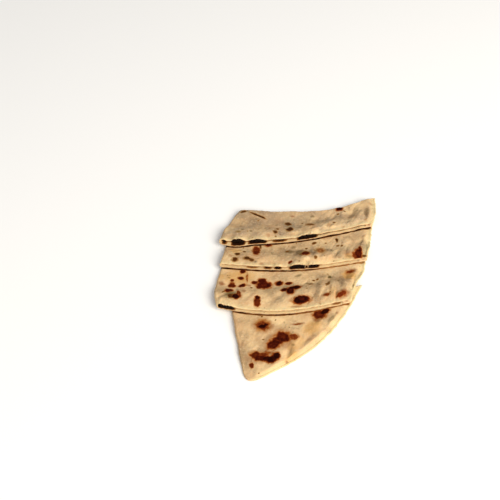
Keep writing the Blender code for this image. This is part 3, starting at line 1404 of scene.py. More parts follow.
@dataclass(frozen=True)
class BakedDough:
    """Thin baked dough: cream, mottled with peach and an olive grey, and toasted in spots, with painted
    highlights and painted shade in its colour.
    """

    cream: Colour = (0.57, 0.375, 0.188, 1.0)
    peach: Colour = (0.51, 0.295, 0.145, 1.0)
    # pale cream of the painted highlights: ridges, the lips' front edges and the lit rim ends, with random
    # pale patches
    pale: Colour = (0.84, 0.60, 0.32, 1.0)
    # grey-brown for the greyer patches and the painted shade on the back strips
    grey: Colour = (0.25, 0.192, 0.138, 1.0)
    # grey-brown of the patches where the filling shows through, and of the painted shade in valleys
    damp: Colour = (0.14, 0.092, 0.052, 1.0)
    flour: Colour = (0.74, 0.54, 0.33, 1.0)
    # pale yellow of the painted highlight along the rims and the front lips
    rim: Colour = (0.74, 0.63, 0.33, 1.0)
    crumb: Colour = (0.56, 0.36, 0.16, 1.0)
    gold: Colour = (0.60, 0.32, 0.09, 1.0)
    olive: Colour = (0.12, 0.075, 0.020, 1.0)
    tan: Colour = (0.23, 0.055, 0.008, 1.0)
    browned: Stops = (
        (0.06, (0.42, 0.26, 0.11, 1.0)),
        (0.30, (0.28, 0.140, 0.042, 1.0)),
        (0.62, (0.145, 0.052, 0.011, 1.0)),
        (0.95, (0.048, 0.014, 0.002, 1.0)),
    )
    charred: Stops = (
        (0.06, (0.48, 0.21, 0.055, 1.0)),
        (0.26, (0.28, 0.075, 0.012, 1.0)),
        (0.50, (0.130, 0.019, 0.003, 1.0)),
        (0.76, (0.058, 0.005, 0.001, 1.0)),
        (0.97, (0.015, 0.0015, 0.0005, 1.0)),
    )
    # dark browns for the painted shadow in front of the lip of the strip behind, and for the hollow's walls
    # and lip seams
    soaked_and_shaded: Stops = (
        (0.10, (0.44, 0.23, 0.075, 1.0)),
        (0.35, (0.27, 0.105, 0.024, 1.0)),
        (0.60, (0.085, 0.026, 0.006, 1.0)),
        (0.88, (0.018, 0.006, 0.002, 1.0)),
    )
    patch_spacing: float = 24.0 * MM
    cloud_spacing: float = 9.0 * MM
    pebble_spacing: float = 4.5 * MM
    crumb_spacing: float = 2.2 * MM
    freckle_spacing: float = 1.8 * MM
    grain_spacing: float = 0.7 * MM
    relief_height: float = 1.0 * MM
    relief_strength: float = 0.8
    roughness: float = 0.66
    specular: float = 0.03
    glow: float = 0.10
    glow_reach: float = 1.2 * MM
    glow_tint: tuple[float, float, float] = (1.0, 0.5, 0.25)

    def make(self) -> bpy.types.Material:
        """Builds the material.

        Returns:
            The finished material.
        """
        sheet = ShaderSheet("baked_dough")
        cloudy = sheet.noise(self.cloud_spacing, 3.0, 0.4)
        fine = sheet.noise(self.crumb_spacing, 3.0)
        grain = sheet.noise(self.grain_spacing, 2.0)
        colour = self.mottled(sheet, cloudy, fine)
        tan, olive = sheet.attribute(Tone.TAN.value), sheet.attribute(Tone.OLIVE.value)
        colour = sheet.darken((tan + (fine - 0.5) * 0.8 * tan).clamped(), colour, self.tan)
        colour = sheet.darken((olive * 1.25 + (fine - 0.5) * 0.6 * olive).clamped(), colour, self.olive)
        patchy = (fine - 0.5) * 0.5 + (grain - 0.5) * 0.2
        brown, char = sheet.attribute(Tone.BROWN.value), sheet.attribute(Tone.CHAR.value)
        brown = brown + brown.between(0.03, 0.25) * patchy
        char = char + char.between(0.03, 0.25) * patchy
        stain = sheet.attribute("stain")
        colour = sheet.darken(brown.between(0.02, 0.26), colour, sheet.ramp(brown, self.browned))
        colour = sheet.darken(char.between(0.02, 0.26), colour, sheet.ramp(char, self.charred))
        # painted shadow in front of the lip of the strip behind, and the darkened hollow walls and lip seams
        colour = sheet.darken(stain.between(0.02, 0.30), colour, sheet.ramp(stain, self.soaked_and_shaded))
        roughness = self.roughness + char.between(0.2, 0.6) * 0.2 + (fine - 0.5) * 0.2
        relief = fine * 0.5 + grain * 0.25 + sheet.noise(self.pebble_spacing, 2.0) * 0.6
        normal = sheet.bump(relief - char.between(0.1, 0.6) * 0.15, self.relief_height, self.relief_strength)
        return sheet.finish(
            base_color=colour,
            roughness=roughness,
            normal=normal,
            specular_ior_level=self.specular,
            subsurface_weight=self.glow,
            subsurface_scale=self.glow_reach,
            subsurface_radius=self.glow_tint,
        )

    def mottled(self, sheet: ShaderSheet, cloudy: Signal, fine: Signal) -> Signal:
        """Mixes the colour that the dough has where it isn't toasted, with the painted highlights and painted
        shade laid into it.

        Args:
            sheet: the material's nodes.
            cloudy: broad noise.
            fine: fine noise.

        Returns:
            The colour.
        """
        broad = sheet.noise(self.patch_spacing, 2.0, 0.6)
        colour = sheet.mix(broad.between(0.38, 0.62) * 0.7, self.cream, self.peach)
        # painted highlights on ridges, the lips' front edges and the lit rim ends, with random pale patches
        colour = sheet.mix(sheet.attribute(Tone.PALE.value), colour, self.pale)
        # greyer patches, partly painted shade on the back strips
        grey = (sheet.attribute("grey") * (cloudy * 1.2 + 0.4)).clamped()
        colour = sheet.mix(grey, colour, self.grey)
        # grey-brown patches: the filling showing through, and painted shade in the valleys of folds
        damp = (cloudy.between(0.50, 0.76) * 0.32 + sheet.attribute(Tone.DAMP.value) * 0.85).clamped()
        colour = sheet.mix(damp, colour, self.damp)
        colour = sheet.mix(fine.between(0.50, 0.72) * 0.35, colour, self.flour)
        gold = sheet.attribute(Tone.GOLD.value)
        colour = sheet.mix((gold + (cloudy - 0.5) * 0.8 * gold).clamped(), colour, self.gold)
        # painted highlight along the rims and the front lips
        colour = sheet.mix(sheet.attribute("rim") * 0.5, colour, self.rim)
        freckle = sheet.noise(self.freckle_spacing, 1.0).between(0.68, 0.74) * cloudy.between(0.42, 0.6)
        colour = sheet.mix(freckle * 0.5, colour, self.tan)
        return sheet.mix(sheet.attribute("cut"), colour, sheet.mix(fine, self.crumb, self.flour))


@dataclass(frozen=True)
class CookedLeaves:
    """Dark, moist, chopped leaves."""

    black: Colour = (0.006, 0.0016, 0.0014, 1.0)
    green: Colour = (0.010, 0.006, 0.0025, 1.0)
    brown: Colour = (0.020, 0.006, 0.003, 1.0)
    lump_spacing: float = 3.0 * MM
    shred_spacing: float = 0.9 * MM
    relief_height: float = 0.5 * MM
    relief_strength: float = 0.9
    specular: float = 0.05

    def make(self) -> bpy.types.Material:
        """Builds the material.

        Returns:
            The finished material.
        """
        sheet = ShaderSheet("cooked_leaves")
        lumps = sheet.noise(self.lump_spacing, 2.0)
        shreds = sheet.noise(self.shred_spacing, 3.0, 1.0)
        colour = sheet.mix(lumps.between(0.42, 0.62), self.black, self.green)
        colour = sheet.mix(shreds.between(0.5, 0.7) * 0.7, colour, self.brown)
        return sheet.finish(
            base_color=colour,
            roughness=0.6 - shreds * 0.3,
            normal=sheet.bump(shreds, self.relief_height, self.relief_strength),
            specular_ior_level=self.specular,
        )


@dataclass(frozen=True)
class Studio:
    """A plain pale floor, soft light from the front right, and the camera."""

    azimuth_of_light: float = 42.0
    height_of_light: float = 38.0
    light_distance: float = 2.2
    light_size: float = 1.7
    light_power: float = 62.0
    sky: float = 0.53
    camera_place: tuple[float, float, float] = (-0.0465, -0.3988, 0.4845)
    camera_tilt: float = 42.0
    focal_pixels: float = 694.0
    image_pixels: float = 500.0
    sensor: float = 36.0
    floor_half: float = 3.0
    floor_colour: Colour = (0.92, 0.92, 0.92, 1.0)
    sky_colour: Colour = (1.0, 0.99, 0.97, 1.0)
    lamp_colour: tuple[float, float, float] = (1.0, 0.95, 0.87)

    def build(self) -> None:
        """Makes the floor, the sky, the lamp and the camera."""
        self.build_floor()
        self.build_sky()
        self.build_lamp()
        self.build_camera()
        bpy.context.scene.view_settings.view_transform = "Standard"

    def build_floor(self) -> None:
        """Makes the plain floor."""
        bm = bmesh.new()
        bmesh.ops.create_grid(bm, x_segments=1, y_segments=1, size=self.floor_half)
        floor = mesh_object(bm, "floor")
        sheet = ShaderSheet("pale_floor")
        floor.data.materials.append(sheet.finish(base_color=self.floor_colour, roughness=0.9))

    def build_sky(self) -> None:
        """Makes the even light from all round."""
        world = bpy.data.worlds.new("sky")
        world.use_nodes = True
        background = world.node_tree.nodes["Background"]
        background.inputs["Color"].default_value = self.sky_colour
        background.inputs["Strength"].default_value = self.sky
        bpy.context.scene.world = world

    def build_lamp(self) -> None:
        """Makes the soft lamp at the front right."""
        data = bpy.data.lights.new("lamp", "AREA")
        data.shape = "DISK"
        data.size = self.light_size
        data.energy = self.light_power
        data.color = self.lamp_colour
        lamp = bpy.data.objects.new("lamp", data)
        turn, rise = math.radians(self.azimuth_of_light), math.radians(self.height_of_light)
        away = Vector((math.sin(turn) * math.cos(rise), -math.cos(turn) * math.cos(rise), math.sin(rise)))
        lamp.location = away * self.light_distance
        lamp.rotation_euler = away.to_track_quat("Z", "Y").to_euler()
        bpy.context.scene.collection.objects.link(lamp)

    def build_camera(self) -> None:
        """Makes the camera at the photograph's angle."""
        data = bpy.data.cameras.new("camera")
        data.sensor_width = self.sensor
        data.lens = self.focal_pixels / self.image_pixels * self.sensor
        data.clip_start = 0.01
        camera = bpy.data.objects.new("camera", data)
        camera.location = self.camera_place
        camera.rotation_euler = (math.radians(self.camera_tilt), 0.0, 0.0)
        bpy.context.scene.collection.objects.link(camera)
        bpy.context.scene.camera = camera


STRIPS = (
    StripPlan(
        name="strip_1",
        front=Edge((-75.5, 41.0), (71.9, 64.5), 8.0, 0.5),
        back=Edge((-57.5, 85.5), (79.5, 106.0), 11.3, -1.8),
        left=Edge((-75.5, 41.0), (-57.5, 85.5), -2.6),
        right=Edge((71.9, 64.5), (79.5, 106.0), 1.7),
        reach=(12.8, 12.8),
        setback=2.6,
        grey=(0.72, 0.60),
        pale=(0.10, 0.85),
        gapes=(Gape(0.10, 9.0, 3.4), Gape(0.27, 9.0, 2.8), Gape(0.58, 10.0, 3.0), Gape(0.84, 8.0, 0.8)),
        mouths=(
            Gape(0.03, 2.0, 0.9),
            Gape(0.116, 5.1, 3.2),
            Gape(0.236, 7.7, 2.0),
            Gape(0.375, 7.5, 0.7),
            Gape(0.552, 8.4, 2.6),
        ),
        lifts=(Gape(0.0, 5.0, 0.9), Gape(0.69, 7.0, 1.1), Gape(0.91, 4.0, 0.8)),
        droops=(Gape(0.10, 13.0, 3.0),),
        seed=1.0,
        photo_rows=(210, 238),
        spots={
            Tone.CHAR: (
                (339.4, 208.8, 3.1, 1.9, 15, 0.95),
            ),
            Tone.BROWN: (
                (243.6, 211.7, 2.6, 1.1, 15, 0.85), (257.7, 215.1, 7.6, 0.85, -21.5, 1),
                (252.8, 209.8, 2.4, 0.4, -16, 0.45), (275.3, 233.1, 2, 1.7, 0, 0.85),
                (277.8, 229.4, 1.2, 0.9, 0, 0.6), (288.3, 223.3, 2.7, 1.6, -25, 0.82),
                (289.7, 230, 2.7, 2.1, 28, 0.98), (310.3, 225.3, 3.6, 1.5, 8, 0.55),
                (338.2, 213.5, 1.1, 0.9, 45, 0.5), (334.1, 223.5, 1.5, 0.7, 0, 0.6),
            ),
            Tone.TAN: (
                (234.4, 226.1, 3.4, 1.8, 0, 0.2), (241.9, 226.4, 0.9, 2, 0, 0.35),
                (258.3, 235.3, 1.8, 0.6, 0, 0.3), (292.5, 216.1, 2.2, 0.9, -10, 0.6),
                (309.4, 225.3, 4.2, 1.9, 8, 0.6), (365.9, 220.9, 1.6, 1.9, 0, 0.4),
                (365.9, 214.5, 1.2, 3.4, 0, 0.25), (328.8, 226.8, 1.8, 2.4, -35, 0.35),
                (370.9, 203.2, 2.8, 1.8, 25, 0.4), (268.3, 237.4, 2.2, 1.2, 0, 0.45),
                (313, 229, 4, 3, 0, 0.3),
            ),
            Tone.GOLD: (
                (238.6, 234, 2.9, 1.7, 10, 0.6),
            ),
            Tone.OLIVE: (
                (238.3, 233.9, 2.6, 1.4, 10, 0.5), (242.5, 231.1, 1.7, 0.6, 0, 0.55),
                (251.1, 232.8, 1.7, 0.9, 0, 0.6), (312.9, 215.6, 1.9, 1.1, 15, 0.55),
                (327.4, 216.2, 0.7, 0.6, 0, 0.4), (325.9, 219.1, 0.6, 0.7, 0, 0.4),
            ),
            # grey-brown patches, many of them painted shade in fold valleys
            Tone.DAMP: (
                (256.1, 221.1, 7.5, 3.3, 0, 0.55), (277.8, 221.7, 5.5, 2.8, 0, 0.45),
                (267.8, 228.3, 3, 2.5, 0, 0.35), (332, 219.1, 1.3, 2.8, -25, 0.4),
                (365.9, 213.2, 1.9, 5, 0, 0.55), (351.8, 216.6, 3.2, 4.6, -25, 0.5),
                (355.6, 209.7, 2, 3.6, -15, 0.45), (304, 219, 7, 4, 0, 0.3), (320, 222, 4, 5, 0, 0.3),
                (300, 229, 7, 3, 0, 0.45), (257, 217, 8, 4, 0, 0.3), (330.5, 226, 1.4, 5, -35, 0.5),
            ),
            # painted highlights on ridges and bright places
            Tone.PALE: (
                (256.4, 212.9, 7, 0.8, -21.5, 0.8), (319, 234, 3, 2.2, 0, 0.9), (324, 226, 2.2, 5, -35, 0.7),
                (329, 214, 1.8, 4, -20, 0.6), (324, 230, 3, 5, 0, 0.5), (350, 224, 12, 3.6, 8, 1),
                (343, 206, 6, 3, 0, 0.3), (372, 213, 3, 9, 0, 0.5), (231, 231, 6, 5, 0, 0.95),
                (262, 234, 14, 2.6, 0, 0.45), (300, 233, 6, 2.2, 0, 0.5), (360, 213, 2.2, 7, -15, 0.5),
            ),
        },
        folds=(
            (355.5, 206, 349, 219.5, -1.2, 3), (366, 207, 366, 222, -1.1, 2.5),
            (361, 208, 358, 223, 0.8, 2.8), (371.5, 205, 371, 222, 0.6, 2.2), (344, 208, 341, 224, 0.7, 3),
            (331.5, 220, 336.5, 212, -0.7, 1.5), (327.5, 230.5, 334, 222, -0.8, 1.7),
            (322.3, 231, 323.5, 226.5, 1, 2.4), (293, 235, 291, 231.5, 0.6, 2.6),
            (318, 214, 314, 224, -0.5, 3), (262, 222, 272, 227, -0.4, 3), (245, 218, 240, 230, 0.4, 4),
            (306, 231, 318, 228, -0.4, 2),
        ),
        creases=(
            (251, 212.5, 264.5, 217.8, -0.9, 0.8), (241, 211.9, 246, 211.3, -0.7, 0.9),
        ),
    ),
    StripPlan(
        name="strip_2",
        front=Edge((-74.5, 12.5), (61.5, 20.5), 7.6),
        back=Edge((-67.5, 53.0), (73.5, 76.5), 8.0, 0.5),
        left=Edge((-74.5, 12.5), (-67.5, 53.0), 0.5),
        right=Edge((61.5, 20.5), (73.5, 76.5), 1.0),
        covered=(12.0, 12.0),
        reach=(11.5, 11.5),
        setback=2.2,
        gapes=(Gape(0.30, 12.0, 1.0), Gape(0.56, 10.0, 3.2), Gape(0.70, 7.0, 1.6)),
        mouths=(
            Gape(0.215, 6.5, 0.5),
            Gape(0.318, 3.8, 0.7),
            Gape(0.385, 3.2, 1.1),
            Gape(0.520, 6.7, 3.0),
            Gape(0.622, 5.0, 1.8),
        ),
        lifts=(Gape(0.25, 45.0, 0.35),),
        strands=(0.569, 0.590),
        least_lift=0.3,
        grey=(0.24, 0.30),
        pale=(0.40, 0.55),
        contact_shadow=(0.95, 0.90),
        seed=4.0,
        photo_rows=(243, 265),
        spots={
            Tone.CHAR: (
                (256.4, 250.3, 3.3, 4.4, 0, 0.58), (255.6, 252.6, 2.4, 2.4, 0, 0.62),
                (268.1, 243.4, 3, 1.8, 8, 0.78), (235.1, 260.8, 1.8, 1.2, 18, 0.55),
                (290.3, 263.7, 1.7, 1.2, 25, 0.6), (305, 254.9, 3.4, 2.8, 20, 0.74),
                (358.3, 255.4, 3.2, 3.9, 0, 0.88), (359.8, 250.8, 1.5, 2.6, 0, 0.85),
                (355.8, 257, 2.8, 2.7, 0, 0.5),
            ),
            Tone.BROWN: (
                (260.5, 245.6, 0.6, 2, -4, 0.85), (244.5, 251.7, 1.5, 1, 15, 0.6),
                (237.3, 255, 2.1, 1.3, 0, 0.92), (235.1, 260.8, 2.6, 1.9, 18, 0.9),
                (247.4, 259.4, 3.3, 1.6, -6, 0.9), (251.4, 260.9, 2.4, 1.3, -20, 0.8),
                (287.5, 250.6, 1.8, 1, 0, 0.6), (336.9, 239.5, 1.2, 1.7, 0, 0.95),
                (337.8, 245.1, 1.7, 0.9, 20, 0.5), (341.9, 245.1, 1.1, 0.8, 0, 0.5),
                (314.4, 242.3, 2.2, 1, 22, 0.7), (306.4, 248.1, 1.2, 0.8, 20, 0.6),
                (305.8, 253.6, 3.1, 2.2, 10, 0.6), (301.2, 255.3, 2.2, 0.9, 12, 0.6),
                (315.6, 260.3, 1.4, 1.5, 0, 0.6), (364.7, 257, 2.2, 1.1, 0, 0.75),
            ),
            Tone.TAN: (
                (231.5, 248.5, 3.5, 0.6, 10, 0.5), (230.6, 257, 2.2, 1.1, 0, 0.45),
                (261.2, 264.9, 1.9, 1.3, 0, 0.5), (301.7, 250.3, 2.4, 0.9, 0, 0.35),
                (320.3, 251.4, 3.6, 3.2, 0, 1), (346, 254, 3, 3, 0, 0.4), (364, 236, 1, 3.4, -30, 0.4),
                (350, 256, 5, 3.4, 0, 0.35),
            ),
            Tone.GOLD: (
                (235.9, 250.6, 5.5, 2.6, 0, 0.8), (320.3, 251.4, 4.4, 3.6, 0, 1), (349, 258, 4, 2.4, 0, 0.6),
            ),
            Tone.OLIVE: (
                (271.7, 253, 0.8, 1.4, 0, 0.5), (280.9, 247.5, 2, 1.1, 0, 0.35),
                (289.8, 250.9, 4.4, 1.9, 0, 0.6), (293.6, 246.2, 2.2, 1.4, 8, 0.5),
                (350, 258.4, 2.8, 0.8, -8, 0.4), (366.5, 245, 0.8, 3.4, 0, 0.45), (299, 252.6, 3, 2, 0, 0.4),
            ),
            # grey-brown patches, many of them painted shade in fold valleys
            Tone.DAMP: (
                (248, 260, 5, 2.4, -10, 0.4), (254.6, 262.6, 2.6, 1.3, -18, 0.6),
                (328.3, 251.2, 3.9, 2.5, 12, 0.75), (310.3, 257, 3.3, 2.8, 0, 0.5),
                (335.6, 256, 1.7, 4.2, -22, 0.5), (362.8, 239.6, 1.4, 2.2, -20, 0.4),
                (282, 256, 11, 4, 10, 0.4), (270, 248, 6, 3, 0, 0.3), (364, 248, 2.8, 8, 0, 0.85),
                (300.5, 253.6, 6.5, 4.4, 0, 1), (314, 253, 6, 4, 0, 0.85), (285, 249, 8, 4, 0, 0.4),
                (300, 244, 5, 2.4, 0, 0.35), (340, 256, 3, 4, -20, 0.4), (322, 257, 5, 3, 0, 0.35),
            ),
            # painted highlights on ridges and bright places
            Tone.PALE: (
                (316, 246, 2.6, 3, 0, 0.9), (318.5, 257, 2.4, 4, -20, 0.7), (241, 249, 8, 4, 0, 0.7),
                (347, 247.5, 5.5, 4.5, 0, 0.95), (320, 240.5, 3.4, 5, 0, 0.95),
                (306, 261.5, 4.5, 1.8, 0, 0.9), (348, 240, 5, 3.5, 0, 0.6), (228, 258, 6, 4, 0, 0.5),
                (276, 259, 6, 4, 0, 0.4),
            ),
        },
        folds=(
            (337.8, 251.5, 334, 260, -1, 1.7), (332.3, 255, 328, 262, 0.7, 2.2),
            (343, 248, 341, 262, 0.6, 2.8), (360, 247, 364.5, 241, 0.7, 1.8), (363, 237, 361, 243, -0.6, 1.5),
            (320, 240, 319, 247, 0.8, 2.6), (316.5, 248, 311, 259, -0.7, 1.9), (304, 260, 308, 256, 0.6, 3.2),
            (350, 240, 346, 252, -0.5, 2.4), (367, 246, 366, 256, -0.6, 1.6), (284, 262, 296, 255, -0.4, 3),
            (246, 262, 256, 264, -0.4, 2), (228, 262, 240, 263, 0.5, 2.6),
        ),
        creases=(
            (230, 249.3, 243, 246.9, 0.5, 0.8), (232, 252.6, 245, 250, 0.5, 0.8),
            (229, 251, 242, 248.6, -0.4, 0.7),
        ),
    ),
    StripPlan(
        name="strip_3",
        front=Edge((-75.8, -34.0), (42.4, -27.5), 10.0, 0.5),
        back=Edge((-71.5, 23.5), (60.5, 31.0), 7.6),
        left=Edge((-75.8, -34.0), (-71.5, 23.5), -3.4, -1.0),
        right=Edge((42.4, -27.5), (60.5, 31.0), 2.2, -2.0),
        covered=(11.0, 11.0),
        reach=(12.5, 25.0),
        setback=2.0,
        gapes=(Gape(0.07, 8.0, 2.6), Gape(0.45, 20.0, 0.5), Gape(0.88, 8.0, 1.2)),
        mouths=(Gape(0.06, 8.4, 1.9), Gape(0.45, 20.0, 0.15), Gape(0.88, 5.0, 0.5)),
        lifts=(Gape(0.4, 45.0, 0.35),),
        least_lift=0.3,
        grey=(0.10, 0.34),
        pale=(0.60, 0.55),
        contact_shadow=(0.88, 0.36),
        seed=7.0,
        photo_rows=(270, 308),
        spots={
            Tone.CHAR: (
                (242.8, 270.6, 2.2, 1.7, 0, 0.8), (240.9, 277.2, 2.6, 1.4, -8, 0.8),
                (247.2, 277, 0.8, 3.4, 0, 0.35), (232.3, 279.4, 1.7, 1.1, 10, 0.58),
                (231.7, 284.2, 3, 2.4, 0, 0.66), (242.3, 284.2, 3, 1.2, 18, 0.86),
                (254.5, 281.4, 2.8, 1.2, 0, 0.72), (262.3, 280, 3.6, 2, 0, 0.8),
                (259.2, 286, 2.4, 1.5, 0, 0.7), (264.2, 283.9, 5.8, 2.9, 0, 0.86),
                (269.2, 283.3, 2.4, 2, 0, 0.72), (279.2, 281.9, 3.3, 1.7, 5, 0.95),
                (288.7, 282.2, 3, 1.2, 8, 0.86), (284.2, 289.2, 3, 1.5, 10, 0.9),
                (290.3, 291, 3.3, 3.4, 0, 1), (296.4, 287, 3.6, 1.9, 15, 0.95),
                (291.5, 287.5, 2.2, 1.4, 0, 0.8), (228.7, 290.8, 3.3, 1.8, 10, 0.8),
                (235.4, 297.9, 3.2, 2.4, -10, 1), (238.6, 295, 2.1, 3.2, 0, 0.55),
                (257.6, 299, 2.2, 1.6, 0, 0.92), (257.1, 303.5, 2.5, 4.2, 0, 0.7),
                (327, 296.3, 2.4, 1.1, 18, 0.5), (350, 271.1, 3, 1.1, 15, 0.5),
                (341.2, 297, 4.6, 1.5, 28, 0.54), (301.2, 301.3, 6.8, 3.2, 12, 1),
                (297.2, 302.9, 3, 2.2, 10, 0.95),
            ),
            Tone.BROWN: (
                (223.4, 292.6, 1.6, 0.6, 35, 0.6), (231.4, 297.5, 3.2, 2.6, 0, 0.85),
                (230, 298, 1.8, 1.2, 0, 0.8), (311, 283.6, 2.2, 0.6, 10, 0.5),
                (313.9, 279.5, 1.2, 0.7, 10, 0.6), (317.5, 278.1, 1.3, 0.7, 25, 0.6),
                (327.8, 284.2, 1.2, 2, -25, 0.55),
            ),
            Tone.TAN: (
                (247.3, 276.1, 1.2, 4.6, 0, 0.8), (248.6, 284, 2.2, 0.9, 0, 0.6),
                (221.4, 282.5, 3.3, 1.7, -20, 0.75), (239.4, 296.4, 3.2, 4, 0, 0.5),
                (243.7, 291.4, 1.9, 1.9, 0, 0.6), (252, 297, 1.6, 7, -30, 0.35),
                (326.5, 296.2, 3.8, 1.8, 18, 1), (351.1, 270.9, 5, 2, 15, 1), (343, 296, 6.4, 3, 28, 1),
                (297.5, 308, 7.5, 0.9, 2, 0.6),
            ),
            Tone.GOLD: (
                (221, 276, 4, 3, 0, 0.6), (240, 276, 14, 6, 0, 0.75), (349, 275, 7, 5, 0, 1),
                (333, 294, 4, 5, 0, 0.4),
            ),
            Tone.OLIVE: (
                (230.5, 295, 4.6, 3.6, 0, 0.62), (298.3, 274.5, 3.3, 1.1, 18, 0.55),
                (309.2, 282.8, 4.1, 1.1, -4, 0.6), (330, 276.2, 1.9, 1.6, 0, 0.9),
                (353.6, 286, 1.1, 1.6, 0, 0.5),
            ),
            # grey-brown patches, many of them painted shade in fold valleys
            Tone.DAMP: (
                (232.6, 296.7, 5.4, 4.2, 0, 1), (237.4, 289.6, 1.5, 1.4, 0, 0.5),
                (346.1, 275.3, 1.4, 3.2, 0, 0.5), (316, 288, 6, 5, 0, 0.35), (342, 283, 3.4, 5, 0, 0.75),
                (317, 299, 3.4, 4.4, 0, 0.5), (283, 280, 6, 4, 0, 0.3), (276, 285, 6, 3.4, 0, 0.5),
                (291, 287, 9, 4.6, 0, 0.6), (228, 296, 6, 5, 0, 0.5), (316, 292, 4, 5, 0, 0.45),
                (222, 289, 4, 5, 0, 0.35), (336, 284, 3, 6, 0, 0.4), (319, 274, 8, 3, 0, 0.3),
                (275, 297, 9, 3, -42, 0.34), (350, 284, 1.8, 3.4, -10, 0.4), (346, 280, 3, 4, 0, 0.6),
                (270, 290, 5, 3.4, 0, 0.4),
            ),
            # painted highlights on ridges and bright places
            Tone.PALE: (
                (281, 301, 5, 3.6, 20, 0.9), (247, 272, 8, 3, 0, 0.4), (258, 273, 5, 2.6, 0, 0.6),
                (224, 303, 5, 3, 0, 0.6), (354, 282, 2.4, 8, 0, 0.3), (333, 286, 1.9, 9, 0, 0.85),
                (266, 303, 5, 3, 0, 0.6), (303, 293, 5, 3, 10, 0.5), (262, 300, 8, 4, 10, 0.4),
                (246, 295, 5, 7, 0, 0.85),
            ),
        },
        folds=(
            (270, 303.5, 284.5, 291, -0.9, 3.2), (256.5, 288, 254, 297, 0.5, 3.2),
            (283, 304, 289, 297, 0.5, 3.6), (333.3, 275, 331.3, 301, 0.9, 2.5),
            (341, 279, 339, 291, -0.7, 2.6), (346.2, 271, 346, 280, -0.6, 1.5),
            (347.5, 298, 351.5, 292, 0.6, 1.8), (326.3, 286, 321.5, 299, -0.7, 2),
            (318, 289, 311.5, 298, -0.5, 2.8), (311, 292, 303, 296.5, 0.5, 2.6),
            (221, 300, 218.5, 306, 0.7, 1.8), (228, 294, 215, 300.5, -0.6, 2), (352, 277, 350, 290, 0.6, 1.8),
            (355, 274, 352.5, 286, -0.7, 1.2), (246, 303, 262, 306, 0.4, 3), (322, 272, 312, 276, -0.4, 2.6),
        ),
        creases=(
            (335.8, 294, 336.2, 302, -1.3, 0.9), (337.2, 301.4, 344.2, 301.7, -0.8, 0.7),
            (345.6, 303, 351.7, 301, -0.8, 0.7),
        ),
    ),
    StripPlan(
        name="strip_4",
        front=Edge((-52.3, -97.5), (-40.0, -103.5), 4.0),
        back=Edge((-63.5, -24.0), (54.0, -6.5), 10.0, 0.5),
        left=Edge((-52.3, -97.5), (-63.5, -24.0), -1.0),
        right=Edge((-40.0, -103.5), (54.0, -6.5), 13.3),
        covered=(12.0, 24.0),
        is_tip=True,
        grey=(0.12, 0.05),
        pale=(0.35, 0.75),
        contact_shadow=(0.66, 0.42),
        seed=11.0,
        specks=16,
        top_heights=(4.0, 4.0),
        spots={
            Tone.CHAR: (
                (263, 326.6, 3.2, 1.9, 0, 0.97), (260.4, 326.9, 1.9, 1.6, 0, 0.9),
                (266, 324.6, 1.9, 1.7, 0, 0.9), (262.8, 325.8, 5.8, 4.2, 0, 0.52),
                (297.6, 324.1, 3.2, 0.6, 5, 0.4), (319.5, 314.6, 4.8, 3.2, 20, 0.75),
                (325, 311.2, 3.8, 1.7, 22, 0.95), (273.6, 344.8, 5.2, 3, 25, 0.84),
                (282, 337.6, 5, 3.6, 18, 0.8), (287, 338.4, 2.2, 2.8, 0, 0.7),
                (277.5, 341.4, 6, 3.3, 30, 0.74), (293.9, 337.8, 3.8, 2.8, 0, 0.46),
                (255, 354.7, 4.4, 3, 0, 0.62), (262, 355, 6, 2.2, 0, 0.5), (268, 353, 3.2, 1.2, 0, 0.3),
                (260.5, 358.2, 6.2, 2.4, -4, 0.8), (266.4, 359, 3.6, 2.2, 0, 0.86),
                (271.5, 360, 4.8, 3, 8, 1), (276.5, 356.6, 2.8, 2.2, 25, 1), (251.5, 365.4, 2, 2.2, 0, 0.6),
            ),
            Tone.TAN: (
                (262.6, 325.8, 8.6, 6.2, 0, 1), (298, 324, 6.2, 1.3, 5, 0.85), (317, 319.6, 3.4, 3, 0, 0.9),
                (321, 314, 7.4, 5, 22, 0.7), (337, 313, 1.3, 1.2, 0, 0.5), (281, 340, 11.5, 6.4, 25, 0.8),
                (263, 357, 15, 5.4, 5, 0.7), (298, 337.5, 1.8, 2.2, 0, 0.8), (254.4, 353.4, 5, 3, 0, 0.9),
                (268, 353, 5.2, 2.6, 0, 1), (250.8, 360.4, 0.8, 2.6, 0, 0.6), (287, 361, 1.5, 1.1, 0, 0.7),
                (309, 340.5, 2.6, 1.2, 10, 0.35),
            ),
            Tone.GOLD: (
                (262.6, 322, 6.6, 3.2, 0, 0.9), (259, 330, 3, 2, 0, 0.8), (292, 358, 6.5, 3.4, 30, 0.8),
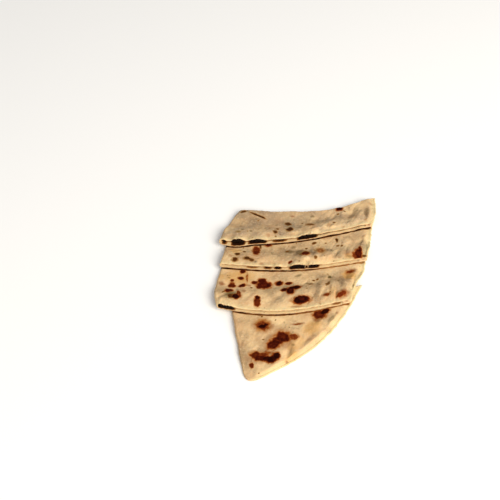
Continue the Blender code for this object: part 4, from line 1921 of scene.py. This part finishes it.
                (312, 328, 8, 5, 35, 0.75), (296, 345, 8, 4, 35, 0.6),
            ),
            Tone.OLIVE: (
                (332, 319, 1.2, 3.4, -30, 0.5), (293, 346, 1.7, 1, 0, 0.45),
            ),
            # grey-brown patches, many of them painted shade in fold valleys
            Tone.DAMP: (
                (241, 338, 1.2, 5, 12, 0.3), (266, 341, 1.6, 5, -40, 0.3), (248, 354, 2, 5, -35, 0.35),
                (289, 353, 2, 4.5, -10, 0.4), (243.5, 356, 3.8, 9, 12, 0.6), (246, 347, 4, 5, 0, 0.3),
                (262, 346, 6, 4, -40, 0.2), (330, 316, 1.8, 3.6, -35, 0.3), (240, 322, 3, 3, 0, 0.2),
            ),
            # painted highlights on ridges and bright places
            Tone.PALE: (
                (276, 321, 10, 4.4, 0, 1), (292, 331, 6, 3, 20, 0.7), (300, 330, 9, 3.4, 25, 0.5),
                (248, 333, 4, 8, 10, 0.3), (252, 343, 5, 6, 0, 0.6), (322, 326, 7, 3.4, 35, 0.5),
                (316, 331, 7, 3, 35, 0.5), (268, 368, 10, 4, -15, 0.5),
            ),
        },
        folds=(
            (264, 340, 247, 359, -0.7, 2.3), (270, 337, 252, 350, 0.5, 2.6),
            (244.5, 335, 240, 346, -0.4, 1.8), (290.5, 349, 285.5, 362, -0.6, 1.8),
            (303, 336, 326, 319, 0.5, 3.4), (286, 329, 301, 331, 0.4, 2.6), (300, 346, 312, 336, -0.4, 2.2),
            (310, 321, 300, 318, 0.4, 3), (250, 370, 262, 372, 0.4, 2.6), (276, 366, 268, 371, -0.3, 2.2),
        ),
    ),
)


def main() -> None:
    """Builds every piece, dresses it and reports it."""
    logging.basicConfig(level=logging.INFO, format="%(message)s")
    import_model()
    sizes = DoughSizes()
    dough, leaves = BakedDough().make(), CookedLeaves().make()
    for above, plan in zip((None,) + STRIPS, STRIPS):
        sleeve = DoughSleeve(plan, above, sizes)
        dress(sleeve.build(), dough, plan.name + "_dough")
        dress(LeafFilling(sleeve).build(), leaves, plan.name + "_filling")
    Studio().build()


if __name__ == "__main__":
    main()
